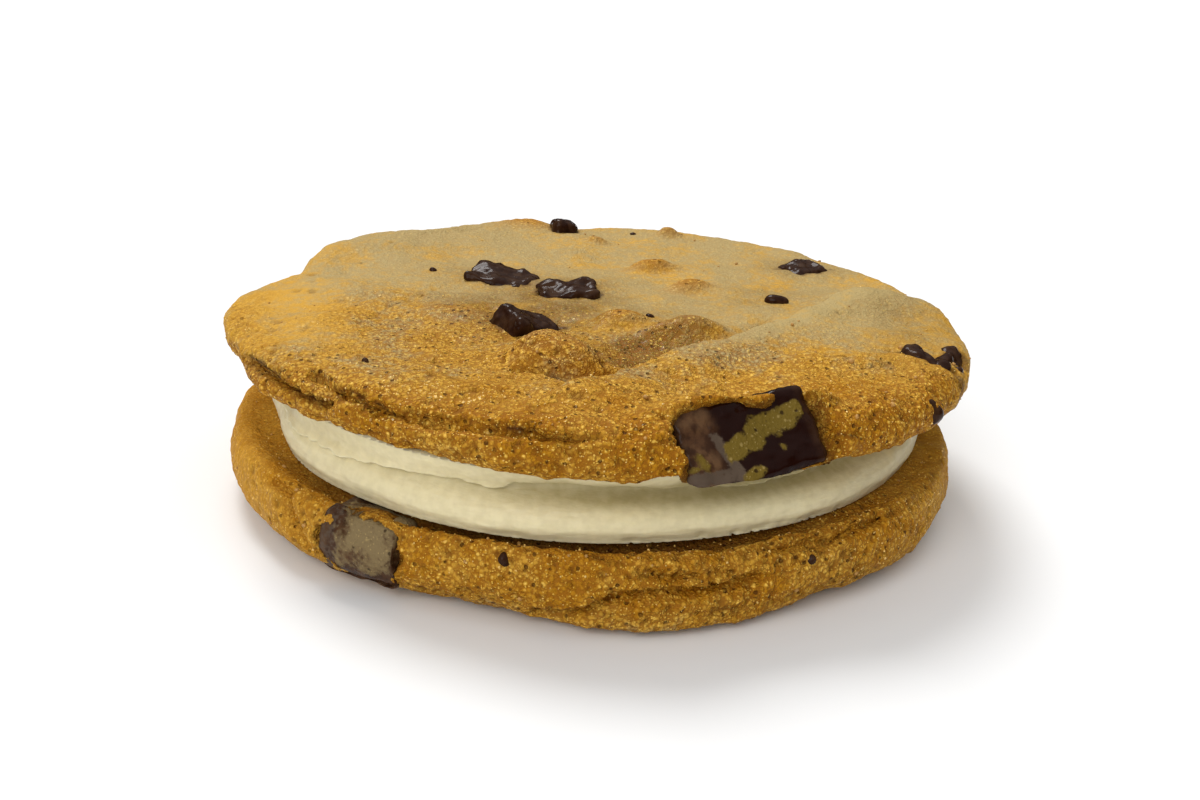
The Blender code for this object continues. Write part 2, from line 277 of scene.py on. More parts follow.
@dataclass(frozen=True)
class ChunkPlan:
    """A piece of chocolate: sizes, the place of its middle, its turn, and where it shows.

    outer and side say which of its faces looks out. An extra one stands for no solid.
    """

    name: str
    size: Point
    place: Point
    turn: Point
    window: Window
    outer: int = 2
    side: float = 1.0
    extra: bool = False

    def matrix(self) -> Matrix:
        """Where the chunk lies and how it is turned, in millimetres."""
        turn = Euler([math.radians(part) for part in self.turn], "XYZ").to_matrix().to_4x4()
        return Matrix.Translation(Vector(self.place) + Vector(AXIS)) @ turn

    def local(self, points: Array) -> Array:
        """The points in the chunk's own frame, its outer face towards the last coordinate's positive side.

        Args:
            points: places in millimetres, one a row.

        Returns:
            Rows of along, across and out.
        """
        inverse = np.array(self.matrix().inverted())
        own = points @ inverse[:3, :3].T + inverse[:3, 3]
        order = {2: (0, 1, 2), 1: (0, 2, 1), 0: (1, 2, 0)}[self.outer]
        own = own[:, order]
        own[:, 2] *= self.side
        return own

    def outward(self) -> Array:
        """The direction in which the outer face looks."""
        return np.array(self.matrix())[:3, self.outer] * self.side

    def half_out(self) -> float:
        """Half the chunk's size along its outward direction."""
        return self.size[self.outer] / 2

    def border(self, points: Array) -> Array:
        """How far each point lies outside the window, in millimetres, negative inside it.

        Args:
            points: places in millimetres, one a row.

        Returns:
            Distances, made uneven by noise.
        """
        window, brow = self.window, self.window.brow
        distance = np.linalg.norm(points - np.array(self.place) - AXIS, axis=1)
        near = distance < 0.5 * max(self.size) + WINDOW_MARGIN
        own = self.local(points[near])
        across = np.abs((own[:, 0] - window.off_x) / window.half_x) ** window.squareness
        arch = fall(own[:, 0] - brow.angle, brow.half_width, 4.0)
        raised = own[:, 1] - window.off_y + brow.amount * arch * (own[:, 1] > 0)
        up = np.abs(raised / window.half_y) ** window.squareness
        reach = (across + up) ** (1.0 / window.squareness)
        uneven = window.ragged * noise_at(points[near], 2.4, 8.0, 3)
        border = np.full(len(points), FAR)
        border[near] = (reach - 1.0) * min(window.half_x, window.half_y) + uneven
        return border

    def embed(self, points: Array) -> Array:
        """Raises the dough to the chunk's outer face all round it, and sinks the dough that would cover it.

        Args:
            points: places on the cookie's surface in millimetres.

        Returns:
            The moved places.
        """
        border, window = self.border(points), self.window
        own = self.local(points)
        out = own[:, 2] - self.half_out()
        facing = rise(FACING_FROM, -2.5, out)
        side = rise(window.collar_from - 0.25, window.collar_from + 0.25, own[:, 1] / window.half_y)
        collar = rise(window.gap + window.collar_width, window.gap + 0.2, border) * facing * side
        lifted = collar * np.clip(window.lip * (0.6 + 0.4 * side) - out, 0.0, None)
        sunk = rise(window.gap, -0.1, border) * facing * np.clip(out + lifted + window.bed_depth, 0.0, None)
        if window.flush:
            lifted, sunk = 0.2 * fall(border - window.gap - 0.5, 0.5), 1.3 * rise(window.gap, 0.0, border)
            lifted, sunk = lifted * rise(-6.0, -4.0, out), sunk * rise(-6.0, -4.0, out)
        return points + self.outward() * (lifted - sunk)[:, None]

    def facing(self, points: Array) -> Array:
        """How surely each point lies on the chunk's outer side, from 0 to 1."""
        return rise(FACING_FROM, -2.0, self.local(points)[:, 2] - self.half_out())


UPPER_CHUNKS = (
    ChunkPlan("front_chunk", (16.2, 9.4, 4.6), (16.2, -39.6, 19.8), (48, -7, 24),
              Window(8.0, 4.9, off_y=-1.0, ragged=0.45, gap=0.7, lip=0.7, squareness=6.0, collar_from=-0.9,
                     brow=Swell(2.4, 2.0, 1.3))),
    ChunkPlan("left_top_chunk", (9.2, 7.4, 5.0), (-14.2, 12.4, 20.8), (4, 8, -16),
              Window(4.4, 3.4, ragged=1.3, gap=0.1, squareness=2.2, collar_from=3.0)),
    ChunkPlan("middle_top_chunk", (8.2, 5.6, 4.9), (-4.3, 6.8, 21.1), (8, -6, 12),
              Window(4.0, 2.5, ragged=1.2, gap=0.1, squareness=2.2, collar_from=3.0)),
    ChunkPlan("near_top_chunk", (7.2, 5.6, 6.0), (-9.4, -10.8, 21.3), (16, 22, 34),
              Window(3.5, 2.6, ragged=1.1, gap=0.1, squareness=2.2, collar_from=3.0)),
    ChunkPlan("back_chunk", (3.9, 6.4, 5.8), (-6.6, 41.8, 21.6), (-8, 6, 8),
              Window(1.95, 3.2, ragged=0.4, gap=0.15, collar_from=3.0)),
    ChunkPlan("right_back_chunk", (6.4, 5.6, 4.8), (30.5, 24.0, 21.1), (4, -10, 30),
              Window(2.9, 2.5, ragged=1.1, gap=0.1, squareness=2.2, collar_from=3.0)),
    ChunkPlan("right_rim_sliver", (8.4, 2.6, 3.6), (40.0, -18.0, 20.8), (-25, 20, -52),
              Window(4.1, 1.2, ragged=0.3, gap=0.15, squareness=2.2, collar_from=3.0), extra=True),
    ChunkPlan("right_edge_chunk", (3.4, 9.6, 4.0), (42.6, -14.4, 20.2), (0, 50, -22),
              Window(1.2, 1.9, off_y=1.5, ragged=0.3, gap=0.15, squareness=2.4, collar_from=3.0)),
    ChunkPlan("rear_rim_chunk", (9.4, 6.0, 4.2), (-27.0, 35.8, 20.2), (-34, 0, 36),
              Window(4.0, 2.3, ragged=0.6)),
)

LOWER_CHUNKS = (
    ChunkPlan("lower_left_chunk", (9.6, 6.4, 7.4), (-24.0, -39.2, 5.5), (-3, 2, -31),
              Window(4.5, 3.5, off_y=0.2, ragged=1.3, gap=0.35, squareness=2.6, flush=True),
              outer=1, side=-1.0),
    ChunkPlan("lower_rear_chunk", (10.5, 5.6, 5.4), (19.7, 42.0, 4.9), (8, 0, -25),
              Window(4.6, 2.2, ragged=0.7, gap=0.45, flush=True), outer=1, side=1.0),
)


def deselect() -> None:
    """Leaves nothing selected."""
    bpy.ops.object.select_all(action="DESELECT")


def select_only(obj: bpy.types.Object) -> None:
    """Leaves one object selected and active.

    Args:
        obj: the piece.
    """
    deselect()
    obj.select_set(True)
    bpy.context.view_layer.objects.active = obj


def read_points(obj: bpy.types.Object) -> Array:
    """The mesh's points in millimetres, one a row."""
    points = np.empty(len(obj.data.vertices) * 3, np.float32)
    obj.data.vertices.foreach_get("co", points)
    return points.reshape(-1, 3).astype(float) / MM


def write_points(obj: bpy.types.Object, points: Array) -> None:
    """Moves the mesh's points to these places in millimetres."""
    obj.data.vertices.foreach_set("co", (points * MM).astype(np.float32).ravel())
    obj.data.update()


def read_normals(obj: bpy.types.Object) -> Array:
    """The direction that the surface faces at each of the mesh's points."""
    normals = np.empty(len(obj.data.vertices) * 3, np.float32)
    obj.data.vertex_normals.foreach_get("vector", normals)
    return normals.reshape(-1, 3).astype(float)


def paint(obj: bpy.types.Object, name: str, first: Array, second: Array, third: Array) -> None:
    """Stores three masks from 0 to 1 in one colour attribute of the mesh.

    Args:
        obj: the piece.
        name: the attribute's name.
        first: one value a point, read as red.
        second: one value a point, read as green.
        third: one value a point, read as blue.
    """
    masks = np.stack([first, second, third, np.ones_like(first)], axis=1)
    attribute = obj.data.attributes.new(name, "FLOAT_COLOR", "POINT")
    attribute.data.foreach_set("color", np.clip(masks, 0.0, 1.0).astype(np.float32).ravel())


def even_out(obj: bpy.types.Object, voxel: float) -> None:
    """Gives a closed mesh faces of one size all over.

    Args:
        obj: the piece.
        voxel: the size of a face in millimetres.
    """
    select_only(obj)
    remesh = obj.modifiers.new("even_faces", "REMESH")
    remesh.mode = "VOXEL"
    remesh.voxel_size = voxel * MM
    bpy.ops.object.modifier_apply(modifier=remesh.name)


def cap_flat(obj: bpy.types.Object, hidden: Array) -> None:
    """Puts one flat face where a level hidden area had thousands.

    Args:
        obj: the piece.
        hidden: for each point, whether it lies within the level area.
    """
    select_only(obj)
    bpy.ops.object.mode_set(mode="EDIT")
    bpy.ops.mesh.select_mode(type="VERT")
    bpy.ops.mesh.select_all(action="DESELECT")
    bpy.ops.object.mode_set(mode="OBJECT")
    obj.data.vertices.foreach_set("select", hidden)
    bpy.ops.object.mode_set(mode="EDIT")
    bpy.ops.mesh.delete(type="VERT")
    bpy.ops.mesh.select_mode(type="EDGE")
    bpy.ops.mesh.select_non_manifold(extend=False, use_wire=False, use_multi_face=False,
                                     use_non_contiguous=False, use_verts=False)
    bpy.ops.mesh.edge_face_add()
    bpy.ops.mesh.select_all(action="SELECT")
    bpy.ops.mesh.normals_make_consistent(inside=False)
    bpy.ops.object.mode_set(mode="OBJECT")


def dress(obj: bpy.types.Object, material: bpy.types.Material, nodes: tuple[str, ...]) -> None:
    """Finishes a piece: smooth shading, its material, its body and the nodes that it stands for.

    Args:
        obj: the piece.
        material: its finish.
        nodes: the names of the solids that it replaces.
    """
    select_only(obj)
    bpy.ops.object.shade_smooth()
    obj.data.materials.clear()
    obj.data.materials.append(material)
    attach(obj, BODY)
    if nodes:
        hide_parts(*nodes)
    LOG.info("%s: %d faces", obj.name, len(obj.data.polygons))


class Graph:
    """Adds and joins the nodes of one shader tree."""

    def __init__(self, tree: bpy.types.NodeTree) -> None:
        """Keeps the tree."""
        self.tree = tree

    def add(self, kind: str, **inputs: object) -> bpy.types.Node:
        """Adds a node and fills or joins its inputs.

        Args:
            kind: the node's type, without the ShaderNode in front.
            **inputs: values or sockets by input name, with _ for a space.

        Returns:
            The new node.
        """
        node = self.tree.nodes.new("ShaderNode" + kind)
        for name, value in inputs.items():
            self.feed(node.inputs[name.replace("_", " ")], value)
        return node

    def feed(self, socket: bpy.types.NodeSocket, value: object) -> None:
        """Joins a socket to another or sets its value."""
        if isinstance(value, bpy.types.NodeSocket):
            self.tree.links.new(value, socket)
        else:
            socket.default_value = value

    def math(self, operation: str, first: object, second: object, clamp: bool = False) -> object:
        """One step of arithmetic.

        Args:
            operation: the name of the operation.
            first: a socket or number.
            second: a socket or number.
            clamp: whether the result stays from 0 to 1.

        Returns:
            The socket with the result.
        """
        node = self.tree.nodes.new("ShaderNodeMath")
        node.operation = operation
        node.use_clamp = clamp
        self.feed(node.inputs[0], first)
        self.feed(node.inputs[1], second)
        return node.outputs[0]

    def plus(self, first: object, second: object, clamp: bool = False) -> object:
        """The sum, kept from 0 to 1 where clamp is set."""
        return self.math("ADD", first, second, clamp)

    def minus(self, first: object, second: object, clamp: bool = False) -> object:
        """The difference, kept from 0 to 1 where clamp is set."""
        return self.math("SUBTRACT", first, second, clamp)

    def times(self, first: object, second: object, clamp: bool = False) -> object:
        """The product, kept from 0 to 1 where clamp is set."""
        return self.math("MULTIPLY", first, second, clamp)

    def spread(self, value: object, low: float, high: float, to_low: float = 0.0,
               to_high: float = 1.0) -> object:
        """Stretches a value from one range to another, smoothly.

        Args:
            value: the socket to read.
            low: the value that becomes to_low.
            high: the value that becomes to_high.
            to_low: the lower result.
            to_high: the upper result.

        Returns:
            The socket with the result.
        """
        node = self.tree.nodes.new("ShaderNodeMapRange")
        node.interpolation_type = "SMOOTHSTEP"
        for name, given in (("Value", value), ("From Min", low), ("From Max", high), ("To Min", to_low),
                            ("To Max", to_high)):
            self.feed(node.inputs[name], given)
        return node.outputs["Result"]

    def mix(self, share: object, first: object, second: object) -> object:
        """Mixes two colours.

        Args:
            share: how much of the second colour, a socket or number.
            first: a socket or an RGB colour.
            second: a socket or an RGB colour.

        Returns:
            The socket with the colour.
        """
        node = self.tree.nodes.new("ShaderNodeMix")
        node.data_type = "RGBA"
        self.feed(node.inputs["Factor"], share)
        for name, colour in (("A", first), ("B", second)):
            socket = next(each for each in node.inputs if each.name == name and each.type == "RGBA")
            self.feed(socket, (*colour, 1.0) if isinstance(colour, tuple) else colour)
        return next(each for each in node.outputs if each.type == "RGBA")

    def noise(self, place: object, per_mm: float, detail: float = 3.0, stretch: Point = (1, 1, 1)) -> object:
        """A noise value, whose swells are about one over per_mm wide.

        Args:
            place: the socket with the coordinates.
            per_mm: swells for each millimetre.
            detail: how many finer patterns are added.
            stretch: the pattern's scale along each axis.

        Returns:
            The socket with the value.
        """
        mapping = self.add("Mapping", Vector=place, Scale=tuple(per_mm / MM * part for part in stretch))
        node = self.add("TexNoise", Vector=mapping.outputs["Vector"], Scale=1.0, Detail=detail)
        return node.outputs["Fac"]

    def cells(self, place: object, per_mm: float) -> tuple[object, object]:
        """The distance to the middle of the nearest cell, and a random value for that cell."""
        node = self.add("TexVoronoi", Vector=place, Scale=per_mm / MM)
        split = self.add("SeparateColor", Color=node.outputs["Color"])
        return node.outputs["Distance"], split.outputs["Red"]

    def masks(self, name: str) -> tuple[object, object, object]:
        """The three masks that a mesh stores under this name."""
        attribute = self.tree.nodes.new("ShaderNodeAttribute")
        attribute.attribute_name = name
        split = self.add("SeparateColor", Color=attribute.outputs["Color"])
        return split.outputs["Red"], split.outputs["Green"], split.outputs["Blue"]


def new_group(name: str, inputs: tuple[tuple[str, str, float], ...], outputs: tuple[str, ...]) -> Graph:
    """Starts a shader node group with named sockets.

    Args:
        name: the group's name.
        inputs: for each input its name, its kind and its value where it isn't joined.
        outputs: the names of the values that it puts out.

    Returns:
        The graph of the group, with its two end nodes in place.
    """
    tree = bpy.data.node_groups.new(name, "ShaderNodeTree")
    for title, kind, value in inputs:
        socket = tree.interface.new_socket(title, in_out="INPUT", socket_type=kind)
        if kind == "NodeSocketFloat":
            socket.default_value = value
    for title in outputs:
        tree.interface.new_socket(title, in_out="OUTPUT", socket_type="NodeSocketFloat")
    tree.nodes.new("NodeGroupInput")
    tree.nodes.new("NodeGroupOutput")
    return Graph(tree)


def baked_grain() -> bpy.types.NodeTree:
    """The fine grain of baked dough, with specks for painted glints and dark pores for painted shade.

    Returns:
        The group. Grit is how coarse the surface is. It puts out a height, the glint specks, the pores, and
        the low gaps between the grains, for painted shade.
    """
    found = bpy.data.node_groups.get("baked_grain")
    if found:
        return found
    graph = new_group("baked_grain", (("Vector", "NodeSocketVector", 0.0), ("Grit", "NodeSocketFloat", 1.0)),
                      ("Height", "Glint speck", "Pore", "Grain gap shade"))
    start, end = graph.tree.nodes["Group Input"], graph.tree.nodes["Group Output"]
    place, grit = start.outputs["Vector"], start.outputs["Grit"]
    warp = graph.add("TexNoise", Vector=place, Scale=0.9 / MM, Detail=2.0)
    shift = graph.add("VectorMath", Vector=warp.outputs["Color"])
    shift.operation = "SCALE"
    shift.inputs["Scale"].default_value = 0.5 * MM
    moved = graph.tree.nodes.new("ShaderNodeVectorMath")
    moved.operation = "ADD"
    graph.feed(moved.inputs[0], place)
    graph.feed(moved.inputs[1], shift.outputs[0])
    crumbs_per_mm, fine_per_mm, pores_per_mm, rough_per_mm = 1.7, 3.4, 1.15, 5.0
    crumb, kind = graph.cells(moved.outputs[0], crumbs_per_mm)
    fine, fine_kind = graph.cells(moved.outputs[0], fine_per_mm)
    hole, hole_kind = graph.cells(moved.outputs[0], pores_per_mm)
    dome = graph.spread(crumb, 0.75, 0.05)
    small = graph.spread(fine, 0.7, 0.1)
    rough = graph.noise(place, rough_per_mm)
    height = graph.plus(graph.times(dome, 0.5), graph.times(small, 0.35))
    height = graph.plus(height, graph.times(rough, 0.3))
    glint_speck = graph.times(graph.spread(fine, 0.42, 0.12), graph.spread(fine_kind, 0.60, 0.72))
    coarse = graph.times(graph.spread(crumb, 0.4, 0.1), graph.spread(kind, 0.75, 0.85))
    glint_speck = graph.plus(glint_speck, coarse, clamp=True)
    pore = graph.times(graph.spread(hole, 0.32, 0.14), graph.spread(hole_kind, 0.64, 0.72))
    pore = graph.times(pore, graph.spread(grit, 0.25, 0.8))
    depth = graph.spread(grit, 0.0, 1.0, 0.4, 1.0)
    graph.feed(end.inputs["Height"], graph.minus(graph.times(height, depth), pore))
    graph.feed(end.inputs["Glint speck"], graph.times(glint_speck, grit, clamp=True))
    graph.feed(end.inputs["Pore"], pore)
    # painted shade in the low gaps between the grains
    grain_gap_shade = graph.times(graph.spread(crumb, 0.25, 0.62), graph.spread(fine, 0.2, 0.6, 0.4, 1.0))
    graph.feed(end.inputs["Grain gap shade"], graph.times(grain_gap_shade, grit, clamp=True))
    return graph.tree


def soft_mottle() -> bpy.types.NodeTree:
    """Slow and quick unevenness of a surface's colour, each from 0 to 1.

    Returns:
        The group, which puts out broad and fine patches.
    """
    found = bpy.data.node_groups.get("soft_mottle")
    if found:
        return found
    graph = new_group("soft_mottle", (("Vector", "NodeSocketVector", 0.0),), ("Broad", "Fine"))
    place, end = graph.tree.nodes["Group Input"].outputs["Vector"], graph.tree.nodes["Group Output"]
    graph.feed(end.inputs["Broad"], graph.spread(graph.noise(place, 0.14, 3.0), 0.32, 0.68))
    graph.feed(end.inputs["Fine"], graph.spread(graph.noise(place, 0.9, 4.0), 0.30, 0.70))
    return graph.tree


def use_group(graph: Graph, tree: bpy.types.NodeTree, **inputs: object) -> bpy.types.Node:
    """Places a node group in a material.

    Args:
        graph: the material's graph.
        tree: the group.
        **inputs: values or sockets by input name.

    Returns:
        The node that stands for the group.
    """
    node = graph.tree.nodes.new("ShaderNodeGroup")
    node.node_tree = tree
    for name, value in inputs.items():
        graph.feed(node.inputs[name], value)
    return node


def new_material(name: str) -> tuple[bpy.types.Material, Graph, bpy.types.Node, object]:
    """Starts a material.

    Args:
        name: its name.

    Returns:
        The material, its graph, its shader and the socket with the object's coordinates.
    """
    material = bpy.data.materials.new(name)
    material.use_nodes = True
    graph = Graph(material.node_tree)
    place = graph.tree.nodes.new("ShaderNodeTexCoord").outputs["Object"]
    return material, graph, material.node_tree.nodes["Principled BSDF"], place


def add_bump(graph: Graph, shader: bpy.types.Node, height: object, depth: float) -> None:
    """Gives a shader its fine relief.

    Args:
        graph: the material's graph.
        shader: the shader.
        height: the socket with the height.
        depth: the height of the relief in millimetres.
    """
    bump = graph.add("Bump", Height=height, Distance=depth * MM, Strength=1.0)
    graph.feed(shader.inputs["Normal"], bump.outputs["Normal"])


@dataclass(frozen=True)
class DoughFinish:
    """Baked dough, from pale and olive where it is thick and moist to golden and brown at the rim, with
    painted glints and shade.
    """

    name: str
    pale: Colour = (0.44, 0.325, 0.135)
    golden: Colour = (0.63, 0.340, 0.042)
    brown: Colour = (0.46, 0.200, 0.008)
    # olive is also the painted shade of the fold's valley and of the lower cookie's shaded right
    olive: Colour = (0.20, 0.115, 0.018)
    orange: Colour = (0.56, 0.250, 0.018)
    # painted shade: the colour of the gaps between the grains
    grain_gap_shade: Colour = (0.25, 0.085, 0.004)
    # painted shade: the colour of the inside of pores, cracks, pits and gaps
    inside: Colour = (0.050, 0.013, 0.003)
    # painted glint: pale specks that stand for the sparkle of the sugary crust
    glint_speck: Colour = (0.95, 0.60, 0.10)
    relief: float = 0.28
    fine_mottle: tuple[float, float] = (0.20, 0.34)
    broad_mottle: tuple[float, float] = (0.20, 0.40)
    grain_gap_shade_share: float = 0.82
    painted_glint_share: float = 0.85
    # how much painted shade darkens the pores
    pore_share: float = 0.7
    roughness: float = 0.66
    damp_gloss: float = 0.28
    speck_gloss: float = 0.22
    damp_coat: float = 0.3
    coat: float = 0.30
    coat_roughness: float = 0.18
    specular: float = 0.08

    def build(self) -> bpy.types.Material:
        """Makes the material, whose masks come from the mesh.

        Returns:
            The material.
        """
        material, graph, shader, place = new_material(self.name)
        browning, moist_and_shade, stain = graph.masks("crust")
        crevice_shade, damp, grit = graph.masks("state")
        mottle = use_group(graph, soft_mottle(), Vector=place)
        grain = use_group(graph, baked_grain(), Vector=place, Grit=grit)
        uneven = graph.times(graph.minus(mottle.outputs["Fine"], 0.5),
                             graph.spread(grit, 0.1, 0.9, *self.fine_mottle))
        patches = graph.times(graph.minus(mottle.outputs["Broad"], 0.5),
                              graph.spread(grit, 0.1, 0.9, *self.broad_mottle))
        toned = graph.plus(graph.plus(browning, uneven), patches, clamp=True)
        colour = graph.mix(graph.spread(toned, 0.0, 0.5), self.pale, self.golden)
        colour = graph.mix(graph.spread(toned, 0.45, 1.0), colour, self.brown)
        # olive for moist dough, and as painted shade in the valley and on the lower right
        colour = graph.mix(moist_and_shade, colour, self.olive)
        colour = graph.mix(stain, colour, self.orange)
        # painted shade: the gaps between the grains are darkened
        colour = graph.mix(graph.times(grain.outputs["Grain gap shade"], self.grain_gap_shade_share), colour, self.grain_gap_shade)
        # painted glint: pale specks mixed into the colour
        painted_glint = graph.times(grain.outputs["Glint speck"], self.painted_glint_share)
        colour = graph.mix(painted_glint, colour, self.glint_speck)
        # painted shade: pores and crevices are darkened to the inside colour
        hole = graph.times(grain.outputs["Pore"], self.pore_share)
        colour = graph.mix(hole, colour, self.inside)
        colour = graph.mix(crevice_shade, colour, self.inside)
        graph.feed(shader.inputs["Base Color"], colour)
        glisten = graph.times(grain.outputs["Glint speck"], self.speck_gloss)
        gloss = graph.plus(graph.times(damp, self.damp_gloss), glisten)
        graph.feed(shader.inputs["Roughness"], graph.minus(self.roughness, gloss, clamp=True))
        wet = graph.plus(graph.times(damp, self.damp_coat), grain.outputs["Glint speck"])
        graph.feed(shader.inputs["Coat Weight"], graph.times(wet, self.coat, clamp=True))
        shader.inputs["Coat Roughness"].default_value = self.coat_roughness
        shader.inputs["Specular IOR Level"].default_value = self.specular
        add_bump(graph, shader, grain.outputs["Height"], self.relief)
        return material


@dataclass(frozen=True)
class CreamFinish:
    """Whipped cream filling: ivory, soft and slightly let through by light, with painted shade in its hollow.
    """

    name: str
    body: Colour = (0.78, 0.69, 0.43)
    # painted shade: the colour of the hollow under the upper cookie
    hollow: Colour = (0.31, 0.24, 0.08)
    relief: float = 0.10
    hollow_shade_share: float = 0.6
    mottle_share: float = 0.16
    plain_roughness: float = 0.46
    smeared_roughness: float = 0.62
    let_through: float = 0.25
    light_reach: Point = (1.0, 0.9, 0.55)
    light_depth: float = 1.6
    specular: float = 0.3

    def build(self) -> bpy.types.Material:
        """Makes the material.

        Returns:
            The material.
        """
        material, graph, shader, place = new_material(self.name)
        mottle = use_group(graph, soft_mottle(), Vector=place)
        # the first mask is painted shade in the hollow
        deep, smeared, _ = graph.masks("spread")
        tone = graph.times(mottle.outputs["Fine"], self.mottle_share)
        shade = graph.plus(graph.times(deep, self.hollow_shade_share), tone, clamp=True)
        graph.feed(shader.inputs["Base Color"], graph.mix(shade, self.body, self.hollow))
        graph.feed(shader.inputs["Roughness"],
                   graph.spread(smeared, 0.0, 1.0, self.plain_roughness, self.smeared_roughness))
        shader.inputs["Subsurface Weight"].default_value = self.let_through
        shader.inputs["Subsurface Radius"].default_value = self.light_reach
        shader.inputs["Subsurface Scale"].default_value = self.light_depth * MM
        shader.inputs["Specular IOR Level"].default_value = self.specular
        fine = graph.noise(place, 1.6, 4.0, (0.45, 0.45, 1.6))
        add_bump(graph, shader, fine, self.relief)
        return material


@dataclass(frozen=True)
class ChocolateFinish:
    """Dark chocolate, glossy where it melted, frosty where it bloomed, under a baked film in places."""

    name: str
    dark: Colour = (0.013, 0.003, 0.0015)
    smeared: Colour = (0.080, 0.036, 0.016)
    bloom: Colour = (0.090, 0.062, 0.042)
    film: Colour = (0.21, 0.150, 0.070)
    streak: Colour = (0.20, 0.11, 0.05)
    # painted glint: pale specks on the baked film
    film_glint: Colour = (0.70, 0.52, 0.20)
    thin: float = 0.30
    thick: float = 0.80
    relief: float = 0.12
    streak_share: float = 0.35
    film_glint_share: float = 0.3
    pore_share: float = 0.8
    ripple_share: float = 0.6
    shiny: float = 0.17
    dull: float = 0.6
    specular: float = 0.08

    def build(self) -> bpy.types.Material:
        """Makes the material, whose masks come from the mesh.

        Returns:
            The material.
        """
        material, graph, shader, place = new_material(self.name)
        film, frost, smear = graph.masks("melt")
        mottle = use_group(graph, soft_mottle(), Vector=place)
        grain = use_group(graph, baked_grain(), Vector=place, Grit=0.8)
        edge = graph.minus(graph.noise(place, 2.2, 6.0), 0.5)
        covered = graph.spread(graph.plus(film, graph.times(edge, 0.8)), self.thin, self.thick)
        frosty = graph.spread(graph.plus(frost, graph.times(edge, 0.9)), 0.35, 0.75)
        streak = graph.spread(graph.noise(place, 0.7, 4.0, (1.0, 1.0, 0.35)), 0.45, 0.68)
        smudge = graph.times(smear, graph.spread(mottle.outputs["Fine"], 0.1, 0.8, 0.45, 1.0))
        colour = graph.mix(smudge, self.dark, self.smeared)
        streaked = graph.times(streak, graph.times(smear, self.streak_share))
        colour = graph.mix(streaked, colour, self.streak)
        colour = graph.mix(frosty, colour, self.bloom)
        colour = graph.mix(covered, colour, self.film)
        # painted glint: pale specks on the film
        film_glint = graph.times(grain.outputs["Glint speck"], graph.times(covered, self.film_glint_share))
        colour = graph.mix(film_glint, colour, self.film_glint)
        hole = graph.times(grain.outputs["Pore"], graph.times(covered, self.pore_share))
        colour = graph.mix(hole, colour, self.dark)
        graph.feed(shader.inputs["Base Color"], colour)
        dull = graph.math("MAXIMUM", covered, graph.times(frosty, 0.8))
        graph.feed(shader.inputs["Roughness"], graph.spread(dull, 0.0, 1.0, self.shiny, self.dull))
        shader.inputs["Specular IOR Level"].default_value = self.specular
        ripple = graph.times(graph.noise(place, 1.1, 4.0), self.ripple_share)
        height = graph.plus(ripple, graph.times(grain.outputs["Height"], covered))
        add_bump(graph, shader, height, self.relief)
        return material


@dataclass(frozen=True)
class GrainFinish:
    """The finish of the sugar grains or of the crumbs stuck to the crust."""

    name: str
    colour: Colour
    roughness: float
    deeper: float = 0.72
    relief: float = 0.05

    def build(self) -> bpy.types.Material:
        """Makes the material.

        Returns:
            The material.
        """
        material, graph, shader, place = new_material(self.name)
        mottle = use_group(graph, soft_mottle(), Vector=place)
        deeper = tuple(self.deeper * part for part in self.colour)
        graph.feed(shader.inputs["Base Color"], graph.mix(mottle.outputs["Fine"], self.colour, deeper))
        shader.inputs["Roughness"].default_value = self.roughness
        add_bump(graph, shader, graph.noise(place, 3.0), self.relief)
        return material


@dataclass
class TurnedBody:
    """A closed body of rings round the upright axis, with its sizes in millimetres.

    The rings run over the lower face, round the rim and over the upper face.
    """

    name: str
    segments: int
    lower_rings: int
    rim_rings: int
    upper_rings: int

    def surface(self, angle: Array, face: Array, share: Array) -> Array:
        """Where the points lie. Each kind of body has its own.

        Args:
            angle: degrees round the axis.
            face: the Face values.
            share: from 0 to 1 along the face, from the bottom up.

        Returns:
            Places in millimetres, one a row.
        """
        raise NotImplementedError

    def turn(self) -> bpy.types.Object:
        """Adds a sphere, refines it and moves its rings onto the surface.

        Returns:
            The new piece.
        """
        rings = self.lower_rings + self.rim_rings + self.upper_rings
        deselect()
        bpy.ops.mesh.primitive_uv_sphere_add(segments=self.segments // 4, ring_count=rings // 4, radius=MM)
        obj = bpy.context.object
        obj.name = obj.data.name = self.name
        finer = obj.modifiers.new("finer", "SUBSURF")
        finer.subdivision_type = "SIMPLE"
        finer.levels = finer.render_levels = 2
        bpy.ops.object.modifier_apply(modifier=finer.name)
        points = read_points(obj)
        points /= np.linalg.norm(points, axis=1, keepdims=True)
        ring = (math.pi - np.arccos(np.clip(points[:, 2], -1.0, 1.0))) / math.pi * rings
        angle = np.degrees(np.arctan2(points[:, 1], points[:, 0])) % 360.0
        rim_end = self.lower_rings + self.rim_rings
        face = np.where(ring < self.lower_rings, Face.LOWER.value, np.where(ring <= rim_end, Face.RIM.value,
                                                                            Face.UPPER.value))
        share = np.where(ring < self.lower_rings, ring / self.lower_rings,
                         np.where(ring <= rim_end, (ring - self.lower_rings) / self.rim_rings,
                                  (ring - rim_end) / self.upper_rings))
        write_points(obj, self.surface(angle, face, share))
        return obj


def sum_of(parts: tuple, places: Array) -> Array:
    """The sum of what all these patches, swells or ridges say at each place."""
    return sum(part.at(places) for part in parts)


def by_face(face: Array, lower: Array | float, rim: Array, upper: Array | float) -> Array:
    """For each point, the value of the face on which it lies."""
    return np.select([face == Face.LOWER.value, face == Face.RIM.value], [lower, rim], upper)


def ringed(angle: Array, radius: Array, level: Array) -> Array:
    """Points at these radii and levels round the cookies' axis."""
    turn = np.radians(angle)
    return np.stack((radius * np.cos(turn), radius * np.sin(turn), level), axis=1) + AXIS


